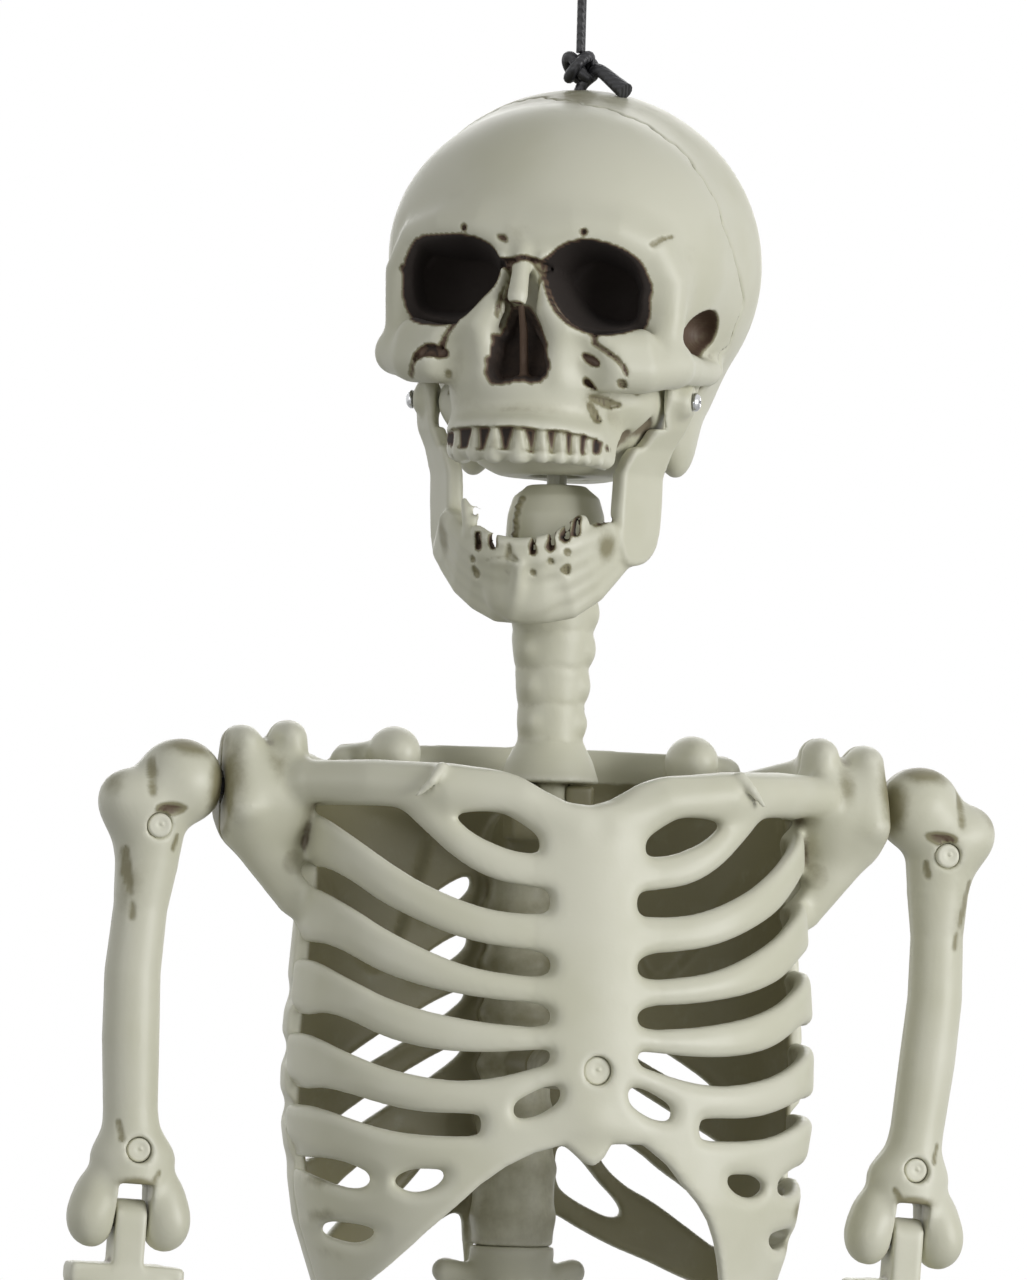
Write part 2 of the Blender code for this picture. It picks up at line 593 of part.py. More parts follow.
def add_jaw(bone, steel, head):
    """The lower jaw, hanging open on two screws, drawn closed and turned down."""
    hinge = frame_at("jaw_hinge", (0, JAW_HINGE_BACK, JAW_HINGE_RISE), (JAW_OPEN, 0, 0), head)
    offset = Vector((0, JAW_HINGE_BACK, JAW_HINGE_RISE))
    ramus_x = JAW_INNER_FACE + RAMUS_THICKNESS / 2
    gather = bmesh.new()
    for side in (1, -1):
        angle = skull_place(JAW_BODY[0]) - offset
        angle.x *= side
        top = Vector((side * ramus_x, 0, 0))
        plate = (RAMUS_THICKNESS / 2, RAMUS_WIDTH / 2, RAMUS_WIDTH / 2)
        beads(gather, (top, top.lerp(angle, 0.5) + BACK * RAMUS_WIDTH * 0.15, angle), plate, 6)
        crest = top.lerp(angle, 0.22) - BACK * RAMUS_WIDTH * 0.95
        beads(gather, (crest, top.lerp(angle, 0.6) - BACK * RAMUS_WIDTH * 0.4),
              (RAMUS_THICKNESS / 2, RAMUS_WIDTH * 0.3, RAMUS_WIDTH * 0.45))
        line = [skull_place((side * x, y, z)) - offset for x, y, z in JAW_BODY]
        beads(gather, line, (JAW_BODY_THICKNESS / 2, JAW_BODY_THICKNESS / 2,
                             JAW_BODY_HALF_HEIGHT * SKULL_HEIGHT), 6)
    ball(gather, skull_place(CHIN_CENTRE) - offset, skull_place(CHIN_RADII))
    rod(gather, [(place - offset, radius)
                 for place, radius in tooth_arch(LOWER_TOOTH_LEVEL, LOWER_TOOTH_THICKNESS)])
    jaw = placed("jaw", gather, bone, hinge)
    fuse(jaw, 1.5 * MM, 700)

    gather = bmesh.new()
    for side in (1, -1):
        low = Vector((side * (JAW_INNER_FACE - JAW_BOSS_DIAMETER), -RAMUS_WIDTH, -RAMUS_WIDTH * 0.5))
        high = Vector((side * JAW_INNER_FACE, RAMUS_WIDTH, RAMUS_WIDTH))
        box(gather, [min(pair) for pair in zip(low, high)], [max(pair) for pair in zip(low, high)])
        outer = side * (JAW_INNER_FACE + RAMUS_THICKNESS)
        turned(gather, (outer + side * RAMUS_THICKNESS, 0, 0), OUT * -side,
               ((0, JAW_SCREW_HEAD / 2 + JAW_SCREW_MARGIN),
                (RAMUS_THICKNESS + JAW_SCREW_SINK, JAW_SCREW_HEAD / 2 + JAW_SCREW_MARGIN)))
    combine(jaw, "DIFFERENCE", cutter("ramus_faces", gather, hinge))
    gather = bmesh.new()
    for side in (1, -1):
        turned(gather, (side * (JAW_INNER_FACE - RAMUS_THICKNESS), 0, 0), OUT * side,
               ((0, JAW_SCREW_SHANK / 2 + RUN_GAP),
                (3 * RAMUS_THICKNESS, JAW_SCREW_SHANK / 2 + RUN_GAP)))
    combine(jaw, "DIFFERENCE", cutter("ramus_bores", gather, hinge))

    for name, side in (("left", 1), ("right", -1)):
        gather = bmesh.new()
        seat = JAW_INNER_FACE + RAMUS_THICKNESS - JAW_SCREW_SINK + SEAT_GAP
        turned(gather, (side * (seat + JAW_SCREW_HEAD_HEIGHT), JAW_HINGE_BACK, JAW_HINGE_RISE),
               OUT * -side,
               ((0, JAW_SCREW_HEAD * 0.32), (JAW_SCREW_HEAD_HEIGHT * 0.6, JAW_SCREW_HEAD / 2),
                (JAW_SCREW_HEAD_HEIGHT, JAW_SCREW_HEAD / 2), (JAW_SCREW_HEAD_HEIGHT, JAW_SCREW_SHANK / 2),
                (JAW_SCREW_LENGTH, JAW_SCREW_SHANK / 2)))
        placed("jaw_screw_" + name, gather, steel, head)


def add_cord(cord):
    """A knot on the crown with its tail and its stopper inside, and the loop above it."""
    hole_top = CROWN - SKULL_HEIGHT + crown_at_cord()
    thick = CORD_DIAMETER / 2
    place = cord_place()
    knot = place + UP * (hole_top + KNOT_CLEAR + KNOT_HEIGHT / 2)
    gather = bmesh.new()
    stopper = place + UP * (hole_top - CROWN_WALL - STOPPER_DIAMETER / 2 - SEAT_GAP)
    ball(gather, stopper, (STOPPER_DIAMETER / 2,) * 3)
    rod(gather, [(stopper, thick), (knot, thick)])
    ball(gather, knot, (KNOT_WIDTH * 0.46, KNOT_WIDTH * 0.42, KNOT_HEIGHT / 2))
    for tilt in (-0.5, 0.5):
        turn = [(knot + Vector((KNOT_WIDTH / 2 * math.cos(a), KNOT_WIDTH / 2 * math.sin(a),
                                KNOT_HEIGHT * 0.28 * math.sin(a + tilt))) * 0.8, thick)
                for a in [math.radians(30 * step) for step in range(13)]]
        rod(gather, turn)
    rod(gather, [(knot + Vector(point), thick * 1.15) for point in CORD_TAIL])
    body = placed("cord_knot", gather, cord)
    fuse(body, 0.55 * MM, 420, None, 2)
    gather = bmesh.new()
    flat = knot.z + KNOT_HEIGHT * 0.34
    box(gather, (place.x - KNOT_WIDTH, place.y - KNOT_WIDTH, flat),
        (place.x + KNOT_WIDTH, place.y + KNOT_WIDTH, flat + KNOT_HEIGHT))
    combine(body, "DIFFERENCE", cutter("knot_top", gather))

    foot = flat + SEAT_GAP
    half = LOOP_WIDTH / 2
    rise = thick - half
    points = [(0.35 * half + 0.65 * half * math.sin(share * math.pi / 2) ** 2,
               foot + (rise - foot) * share) for share in [step / 6 for step in range(6)]]
    points += [(half * math.cos(angle), rise + half * math.sin(angle))
               for angle in [math.radians(30 * step) for step in range(4)]]
    path = points + [(-across, z) for across, z in reversed(points[:-1])]
    curve = bpy.data.curves.new("hanging_loop", "CURVE")
    curve.dimensions = "3D"
    curve.bevel_depth = thick
    curve.bevel_resolution = 2
    curve.use_fill_caps = True
    spline = curve.splines.new("POLY")
    spline.points.add(len(path) - 1)
    for point, (across, z) in zip(spline.points, path):
        point.co = (place.x + across * math.sin(LOOP_TURN),
                    place.y + across * math.cos(LOOP_TURN), z, 1)
    curve.materials.append(cord)
    loop = bpy.data.objects.new("hanging_loop", curve)
    bpy.context.scene.collection.objects.link(loop)


def add_neck(bone, dark):
    """The neck column on its seat, and the peg that lets the head turn on it."""
    top = CROWN - SKULL_HEIGHT - NECK_TOP_GAP
    profile = [(share * NECK_LENGTH, width / 2) for share, width in NECK_WIDTHS]
    profile.append((NECK_LENGTH, NECK_FOOT_WIDTH / 2))
    profile += [(NECK_LENGTH, NECK_SPIGOT_DIAMETER / 2),
                (NECK_LENGTH + NECK_SPIGOT_LENGTH, NECK_SPIGOT_DIAMETER / 2)]
    gather = bmesh.new()
    turned(gather, (0, 0, top), -UP, profile, 12)
    neck = placed("neck", gather, bone)
    gather = bmesh.new()
    bore = PEG_DIAMETER / 2 + SEAT_GAP
    turned(gather, (0, 0, top + PEG_DEPTH), -UP, ((0, bore), (2 * PEG_DEPTH + SEAT_GAP, bore)))
    combine(neck, "DIFFERENCE", cutter("neck_bore", gather))

    gather = bmesh.new()
    seat = CROWN - SKULL_HEIGHT + SKULL_FLOOR + SEAT_GAP
    reach = seat - top + PEG_DEPTH
    turned(gather, (0, 0, seat + PEG_HEAD_HEIGHT), -UP,
           ((0, PEG_HEAD_DIAMETER * 0.36), (PEG_HEAD_HEIGHT * 0.5, PEG_HEAD_DIAMETER / 2),
            (PEG_HEAD_HEIGHT, PEG_HEAD_DIAMETER / 2), (PEG_HEAD_HEIGHT, PEG_DIAMETER / 2),
            (PEG_HEAD_HEIGHT + reach, PEG_DIAMETER / 2)))
    placed("head_peg", gather, dark)


def between(table, share):
    """Reads a value between the rows of a (share, value) table."""
    for (low, first), (high, second) in zip(table, table[1:]):
        if share <= high:
            return first + (second - first) * (share - low) / (high - low)
    return table[-1][1]


def chest_drop(share):
    """Drop below the crown of a share of the chest's height."""
    return CHEST_TOP + share * CHEST_HEIGHT


def chest_ring(share, depth, facing):
    """One level of a half barrel: its outside and then its inside, as a closed ring.

    It runs a wall's thickness past the plane where the shells meet, to be cut there.
    """
    wide = CHEST_HALF_WIDTH * between(CHEST_GIRTH, share)
    deep = depth * between(CHEST_SWELL, share)
    power = 2 / CHEST_SQUARENESS
    ring = []
    for wall, order in ((0, 1), (RIB_WALL, -1)):
        for step in range(-5, 6):
            angle = math.radians(90 * order * step / 5)
            sine, cosine = math.sin(angle), max(math.cos(angle), 0)
            across = math.copysign(abs(sine) ** power, sine) * (wide - wall)
            out = cosine ** power * (deep - wall + RIB_WALL) - RIB_WALL
            ring.append(below_crown(across, CHEST_BACK + facing * out, chest_drop(share)))
    return ring


def rib_gap(gather, gap, facing, side):
    """Adds the cutter of one gap between ribs, on one side of the chest."""
    curl = 3 if facing < 0 else 1
    inner, outer, inner_drop, outer_drop, sag, (first, middle, last) = gap
    upper, lower = [], []
    steps = 4 if outer - inner > 0.4 else 3
    for step in range(steps + 1):
        share = step / steps
        drop = inner_drop + (outer_drop - inner_drop) * share ** curl + sag * math.sin(math.pi * share)
        girth = CHEST_HALF_WIDTH * between(CHEST_GIRTH, drop)
        x = side * (inner + (outer - inner) * share) * girth
        half = (first * (1 - share) + last * share
                + (middle - (first + last) / 2) * math.sin(math.pi * share))
        upper.append((x, CROWN - chest_drop(drop - half)))
        lower.append((x, CROWN - chest_drop(drop + half)))
    prism(gather, upper + lower[::-1], CHEST_BACK - facing * SEAT_GAP,
          CHEST_BACK + facing * 2 * CHEST_FRONT_DEPTH)


def shoulder_forms(gather):
    """Adds the forms that both shells share: the two shoulder blocks."""
    for side in (1, -1):
        for inset, rise, radii in SHOULDER_LUMPS:
            middle = below_crown(side * (SHOULDER_FACE - inset), CHEST_BACK, SHOULDER_DROP - rise)
            ball(gather, middle, radii)
        rod(gather, [(below_crown(side * (SHOULDER_FACE - inset), CHEST_BACK, SHOULDER_DROP + drop), thick)
                     for inset, drop, thick in SHOULDER_TAPER])


def shoulder_cuts(gather):
    """Adds the flat outer faces and the pin sockets of both shoulders."""
    for side in (1, -1):
        face = side * SHOULDER_FACE
        far = face + side * 3 * SHOULDER_PIN_FLANGE
        low = below_crown(min(face, far), CHEST_BACK - CHEST_FRONT_DEPTH, SHOULDER_DROP + CHEST_HEIGHT)
        high = below_crown(max(face, far), CHEST_BACK + CHEST_FRONT_DEPTH, SHOULDER_DROP - CHEST_HEIGHT / 2)
        box(gather, low, high)


def shoulder_sockets(gather):
    """Adds the loose bore and the flange pocket that hold each shoulder pin."""
    pocket = SHOULDER_PIN_FLANGE_THICKNESS + 2 * SHOULDER_PLAY
    inner = SHOULDER_PIN_HALF_LENGTH + SHOULDER_PLAY
    shank = SHOULDER_PIN_SHANK / 2 + SHOULDER_PLAY
    flange = SHOULDER_PIN_FLANGE / 2 + SHOULDER_PLAY
    for side in (1, -1):
        start = below_crown(side * (SHOULDER_FACE - inner), CHEST_BACK, SHOULDER_DROP)
        turned(gather, start, OUT * side,
               ((0, flange), (pocket, flange), (pocket, shank), (2 * inner, shank)))


def chest_cutters():
    """The cutters that both shells use."""
    gather = bmesh.new()
    shoulder_cuts(gather)
    faces = cutter("shoulder_faces", gather)
    gather = bmesh.new()
    shoulder_sockets(gather)
    sockets = cutter("shoulder_sockets", gather)
    return faces, sockets


def half_space(name, facing):
    """Everything on one side of the plane where the shells meet, to be cut away."""
    reach = 4 * CHEST_HALF_WIDTH
    near, far = CHEST_BACK - facing * SEAT_GAP / 2, CHEST_BACK + facing * reach
    gather = bmesh.new()
    box(gather, below_crown(-reach, min(near, far), CHEST_TOP + 2 * CHEST_HEIGHT),
        below_crown(reach, max(near, far), CHEST_TOP - CHEST_HEIGHT))
    return cutter(name, gather)


def chest_shell(name, bone, depth, facing):
    """Half of the barrel as a closed wall."""
    gather = bmesh.new()
    levels = 6
    lofted(gather, [chest_ring(step / levels, depth, facing) for step in range(levels + 1)])
    return placed(name, gather, bone)


def sternum_front(drop):
    """Depth of the chest's front on the middle line, at a drop below the crown."""
    share = (drop - CHEST_TOP) / CHEST_HEIGHT
    return CHEST_BACK - CHEST_FRONT_DEPTH * between(CHEST_SWELL, share)


def add_chest_front(bone, faces, sockets):
    """Front shell: breastbone, collar bones, ribs and the front of the shoulders."""
    shell = chest_shell("ribcage_front", bone, CHEST_FRONT_DEPTH, -1)
    gather = bmesh.new()
    shoulder_forms(gather)
    collar = SHOULDER_DROP - CLAVICLE_RISE
    for side in (1, -1):
        bar = [(below_crown(side * across, sternum_front(collar) + back, collar + drop),
                CLAVICLE_DIAMETER * share) for across, back, drop, share in CLAVICLE_PATH]
        bar.append((below_crown(side * (SHOULDER_FACE - CLAVICLE_END), CHEST_BACK - CLAVICLE_FRONT, collar),
                    CLAVICLE_DIAMETER / 2))
        rod(gather, bar)
    plate = [below_crown(0, sternum_front(drop) + RIB_WALL / 4, drop)
             for drop in (CHEST_TOP + CLAVICLE_DIAMETER * 0.8, (CHEST_TOP + STERNUM_SCREW_DROP) / 2,
                          STERNUM_SCREW_DROP + STERNUM_BELOW_SCREW)]
    beads(gather, plate, STERNUM_RADII, 6)
    forms = cutter("chest_front_forms", gather)
    fuse(forms, 1.8 * MM, 440)
    combine(shell, "UNION", forms)

    gather = bmesh.new()
    boss_front = sternum_front(STERNUM_SCREW_DROP) + RIB_WALL / 2
    turned(gather, below_crown(0, boss_front, STERNUM_SCREW_DROP), BACK,
           ((0, STERNUM_BOSS_DIAMETER / 2),
            (CHEST_BACK - SEAT_GAP / 2 - boss_front, STERNUM_BOSS_DIAMETER / 2)))
    combine(shell, "UNION", cutter("sternum_boss", gather))

    combine(shell, "DIFFERENCE", half_space("rear_half", 1))
    gather = bmesh.new()
    for gap in FRONT_GAPS:
        for side in (1, -1):
            rib_gap(gather, gap, -1, side)
    combine(shell, "DIFFERENCE", cutter("front_gaps", gather))
    gather = bmesh.new()
    edge = [(x * CHEST_HALF_WIDTH, CROWN - STERNUM_SCREW_DROP - drop) for x, drop in RIB_ARCH]
    prism(gather, edge + [(-x, z) for x, z in edge[:0:-1]], CHEST_BACK + SEAT_GAP,
          CHEST_BACK - 2 * CHEST_FRONT_DEPTH)
    combine(shell, "DIFFERENCE", cutter("rib_arch", gather))
    combine(shell, "DIFFERENCE", faces)
    combine(shell, "DIFFERENCE", sockets)

    gather = bmesh.new()
    recess = sternum_front(STERNUM_SCREW_DROP) - RIB_WALL
    seat = CHEST_BACK - STERNUM_SCREW_SEAT
    turned(gather, below_crown(0, recess, STERNUM_SCREW_DROP), BACK,
           ((0, STERNUM_PLUG_DIAMETER / 2 + SEAT_GAP),
            (seat - recess, STERNUM_PLUG_DIAMETER / 2 + SEAT_GAP),
            (seat - recess, SCREW_SHANK_DIAMETER / 2 + SEAT_GAP),
            (seat - recess + 3 * STERNUM_BOSS_DIAMETER, SCREW_SHANK_DIAMETER / 2 + SEAT_GAP)))
    combine(shell, "DIFFERENCE", cutter("sternum_bore", gather))
    return seat


def rear_wall(across, share):
    """A point on the outside of the rear shell."""
    deep = CHEST_REAR_DEPTH * between(CHEST_SWELL, share)
    curve = max(1 - abs(across) ** CHEST_SQUARENESS, 0.02) ** (1 / CHEST_SQUARENESS)
    return below_crown(across * CHEST_HALF_WIDTH, CHEST_BACK + deep * curve, chest_drop(share))


def add_chest_rear(bone, faces, sockets):
    """Rear shell: shoulder blades, back ribs, the spine and the seat of the neck."""
    shell = chest_shell("ribcage_back", bone, CHEST_REAR_DEPTH, 1)
    seat_top = SKULL_HEIGHT + NECK_TOP_GAP + NECK_LENGTH + SEAT_GAP
    spine_end = LUMBAR_TOP - SEAT_GAP
    gather = bmesh.new()
    shoulder_forms(gather)
    for side in (1, -1):
        for across, share in BLADE_PLACES:
            ball(gather, rear_wall(side * across, share) - BACK * BLADE_SINK, BLADE_RADII)
        ridge = [(rear_wall(side * across, share), thick) for across, share, thick in BLADE_RIDGE]
        inset, back, rise, thick = BLADE_TIP
        ridge.append((below_crown(side * (SHOULDER_FACE - inset), CHEST_BACK + back,
                                  SHOULDER_DROP - rise), thick))
        rod(gather, ridge)
        across, forward, rise = BLADE_KNOB
        ball(gather, rear_wall(side * across, 0) + BACK * forward + UP * rise, BLADE_KNOB_RADII)
    rod(gather, [(below_crown(0, SPINE_BACK, seat_top + NECK_SEAT_DEPTH), SPINE_DIAMETER / 2),
                 (below_crown(0, SPINE_BACK, spine_end + RIB_WALL), SPINE_DIAMETER / 2)])
    rod(gather, [(below_crown(0, 0, seat_top + NECK_SEAT_DEPTH * 0.35), NECK_SEAT_DIAMETER * 0.42),
                 (below_crown(0, SPINE_BACK, seat_top + NECK_SEAT_DEPTH * 1.2), SPINE_DIAMETER / 2)])
    forms = cutter("chest_rear_forms", gather)
    fuse(forms, 1.8 * MM, 520)
    combine(shell, "UNION", forms)

    gather = bmesh.new()
    turned(gather, below_crown(0, 0, seat_top), -UP,
           ((0, NECK_SEAT_DIAMETER / 2), (NECK_SEAT_DEPTH, NECK_SEAT_DIAMETER / 2)))
    turned(gather, below_crown(0, SPINE_BACK, STERNUM_SCREW_DROP), -BACK,
           ((0, STERNUM_BOSS_DIAMETER / 2),
            (SPINE_BACK - CHEST_BACK - SEAT_GAP / 2, STERNUM_BOSS_DIAMETER / 2)))
    combine(shell, "UNION", cutter("neck_seat", gather), True)
    combine(shell, "DIFFERENCE", half_space("front_half", -1))

    gather = bmesh.new()
    for gap in REAR_GAPS:
        for side in (1, -1):
            rib_gap(gather, gap, 1, side)
    combine(shell, "DIFFERENCE", cutter("rear_gaps", gather))
    combine(shell, "DIFFERENCE", faces)
    combine(shell, "DIFFERENCE", sockets)

    gather = bmesh.new()
    spigot = NECK_SPIGOT_DIAMETER / 2 + SEAT_GAP
    wide = NECK_FOOT_WIDTH / 2 + NECK_SEAT_MARGIN
    turned(gather, below_crown(0, 0, seat_top - NECK_FOOT_WIDTH), -UP,
           ((0, wide), (NECK_FOOT_WIDTH, wide), (NECK_FOOT_WIDTH, spigot),
            (NECK_FOOT_WIDTH + NECK_SPIGOT_LENGTH, spigot)))
    notch = LUMBAR_WINGSPAN / 2 + LUMBAR_NOTCH_MARGIN
    box(gather, below_crown(-notch, SPINE_BACK - SPINE_DIAMETER, spine_end + CHEST_HEIGHT),
        below_crown(notch, SPINE_BACK + CHEST_REAR_DEPTH, spine_end))
    combine(shell, "DIFFERENCE", cutter("spine_ends", gather))
    gather = bmesh.new()
    spigot = LUMBAR_SPIGOT_DIAMETER / 2 + SEAT_GAP
    turned(gather, below_crown(0, SPINE_BACK, spine_end - LUMBAR_SPIGOT_LENGTH), -UP,
           ((0, spigot), (4 * LUMBAR_SPIGOT_LENGTH, spigot)))
    turned(gather, below_crown(0, CHEST_BACK - SPINE_BACK, STERNUM_SCREW_DROP), BACK,
           ((0, SCREW_SHANK_DIAMETER / 2 + SEAT_GAP),
            (SPINE_BACK + STERNUM_SCREW_LENGTH, SCREW_SHANK_DIAMETER / 2 + SEAT_GAP)))
    combine(shell, "DIFFERENCE", cutter("spine_bores", gather))


def add_screw(name, steel, parent, start, axis, head, length):
    """A pan-head screw that starts at the top of its head and points along an axis."""
    gather = bmesh.new()
    turned(gather, start, axis,
           ((0, head * 0.34), (SCREW_HEAD_HEIGHT * 0.6, head / 2), (SCREW_HEAD_HEIGHT, head / 2),
            (SCREW_HEAD_HEIGHT, SCREW_SHANK_DIAMETER / 2), (length, SCREW_SHANK_DIAMETER / 2)), 8)
    placed(name, gather, steel, parent)


def add_plug(name, bone, parent, start, axis, diameter):
    """A domed plug that covers a screw, from the middle of its face."""
    gather = bmesh.new()
    turned(gather, start, axis,
           ((0, diameter * 0.3), (PLUG_THICKNESS * 0.25, diameter / 2), (PLUG_THICKNESS, diameter / 2)), 9)
    placed(name, gather, bone, parent)


def add_lumbar(bone):
    """The lower spine, plugged into the rear shell above and the pelvis below."""
    gather = bmesh.new()
    step = LUMBAR_LENGTH / LUMBAR_VERTEBRAE
    drum = [(share * step, width * LUMBAR_DIAMETER) for share, width in LUMBAR_DRUM]
    for number in range(LUMBAR_VERTEBRAE):
        middle = below_crown(0, SPINE_BACK, LUMBAR_TOP + (number + 0.5) * step)
        turned(gather, middle + UP * step * 0.52, -UP, drum, 20)
        for side in (1, -1):
            wing = side * (LUMBAR_WINGSPAN - LUMBAR_WING) / 2
            rod(gather, [(middle + OUT * side * LUMBAR_DIAMETER * 0.3, LUMBAR_WING * 0.56),
                         (middle + OUT * wing + BACK * LUMBAR_WING * 0.4, LUMBAR_WING / 2)])
        rod(gather, [(middle + BACK * LUMBAR_DIAMETER * 0.35, LUMBAR_WING / 2),
                     (middle + BACK * LUMBAR_DIAMETER * 0.6 - UP * LUMBAR_WING * 0.4, LUMBAR_WING * 0.42)])
    lumbar = placed("lumbar_spine", gather, bone)
    fuse(lumbar, 1.4 * MM, 480, None, 3)
    gather = bmesh.new()
    reach = 4 * LUMBAR_DIAMETER
    for top, bottom in ((LUMBAR_TOP - reach, LUMBAR_TOP),
                        (LUMBAR_TOP + LUMBAR_LENGTH, LUMBAR_TOP + LUMBAR_LENGTH + reach)):
        box(gather, below_crown(-reach, -reach, bottom), below_crown(reach, reach, top))
    combine(lumbar, "DIFFERENCE", cutter("lumbar_ends", gather))
    gather = bmesh.new()
    turned(gather, below_crown(0, SPINE_BACK, LUMBAR_TOP - LUMBAR_SPIGOT_LENGTH + 3 * SEAT_GAP), -UP,
           ((0, LUMBAR_SPIGOT_DIAMETER / 2),
            (LUMBAR_LENGTH + 2 * LUMBAR_SPIGOT_LENGTH - 6 * SEAT_GAP, LUMBAR_SPIGOT_DIAMETER / 2)))
    combine(lumbar, "UNION", cutter("lumbar_spigots", gather))


def add_pelvis(bone):
    """Hip bones and sacrum in one moulding, with a flat face and a bore at each hip."""
    def at(x, y, z):
        return below_crown(x * PELVIS_HALF_WIDTH, HIP_BACK + y * PELVIS_DEPTH,
                           HIP_DROP - z * PELVIS_HEIGHT)

    def bar(side, rows):
        return [(at(side * x, y, z), thick) for x, y, z, thick in rows]

    seat = LUMBAR_TOP + LUMBAR_LENGTH + SEAT_GAP
    gather = bmesh.new()
    rod(gather, [(below_crown(0, SPINE_BACK, seat), LUMBAR_DIAMETER * 0.52)] + bar(1, PELVIS_SACRUM))
    for side in (1, -1):
        beads(gather, [at(side * x, y, z) for x, y, z in PELVIS_CREST], PELVIS_CREST_RADII, 5)
        beads(gather, [at(side * x, y, z) for x, y, z in PELVIS_WING], PELVIS_WING_RADII)
        hip = below_crown(side * (HIP_FACE - HIP_BLOCK_INSET), HIP_BACK, HIP_DROP)
        ball(gather, hip, HIP_BLOCK_RADII)
        rod(gather, bar(side, PELVIS_RIM) + [(hip, HIP_BLOCK_RADII[0] * 0.77)])
        rod(gather, [(hip, HIP_BLOCK_RADII[0] * 0.65)] + bar(side, PELVIS_PUBIS))
        rod(gather, [(hip, HIP_BLOCK_RADII[0] * 0.7)] + bar(side, PELVIS_SEAT))
    pelvis = placed("pelvis", gather, bone)
    fuse(pelvis, 1.7 * MM, 760)

    gather = bmesh.new()
    reach = 4 * LUMBAR_DIAMETER
    box(gather, below_crown(-LUMBAR_DIAMETER, SPINE_BACK - LUMBAR_DIAMETER * 0.75, seat),
        below_crown(LUMBAR_DIAMETER, SPINE_BACK + LUMBAR_DIAMETER, seat - reach))
    for side in (1, -1):
        face = side * HIP_FACE
        far = side * (HIP_FACE + reach)
        box(gather, below_crown(min(face, far), -reach, HIP_DROP + PELVIS_HEIGHT / 2),
            below_crown(max(face, far), HIP_BACK + reach, HIP_DROP - HIP_FACE_TOP))
    combine(pelvis, "DIFFERENCE", cutter("pelvis_faces", gather))
    gather = bmesh.new()
    spigot = LUMBAR_SPIGOT_DIAMETER / 2 + SEAT_GAP
    turned(gather, below_crown(0, SPINE_BACK, seat - LUMBAR_SPIGOT_LENGTH), -UP,
           ((0, spigot), (2 * LUMBAR_SPIGOT_LENGTH, spigot)))
    bore = SHOULDER_PIN_SHANK / 2 + SEAT_GAP
    for side in (1, -1):
        turned(gather, below_crown(side * (HIP_FACE - HIP_PIN_DEPTH), HIP_BACK, HIP_DROP), OUT * side,
               ((0, bore), (2 * HIP_PIN_DEPTH, bore)))
    combine(pelvis, "DIFFERENCE", cutter("pelvis_bores", gather))


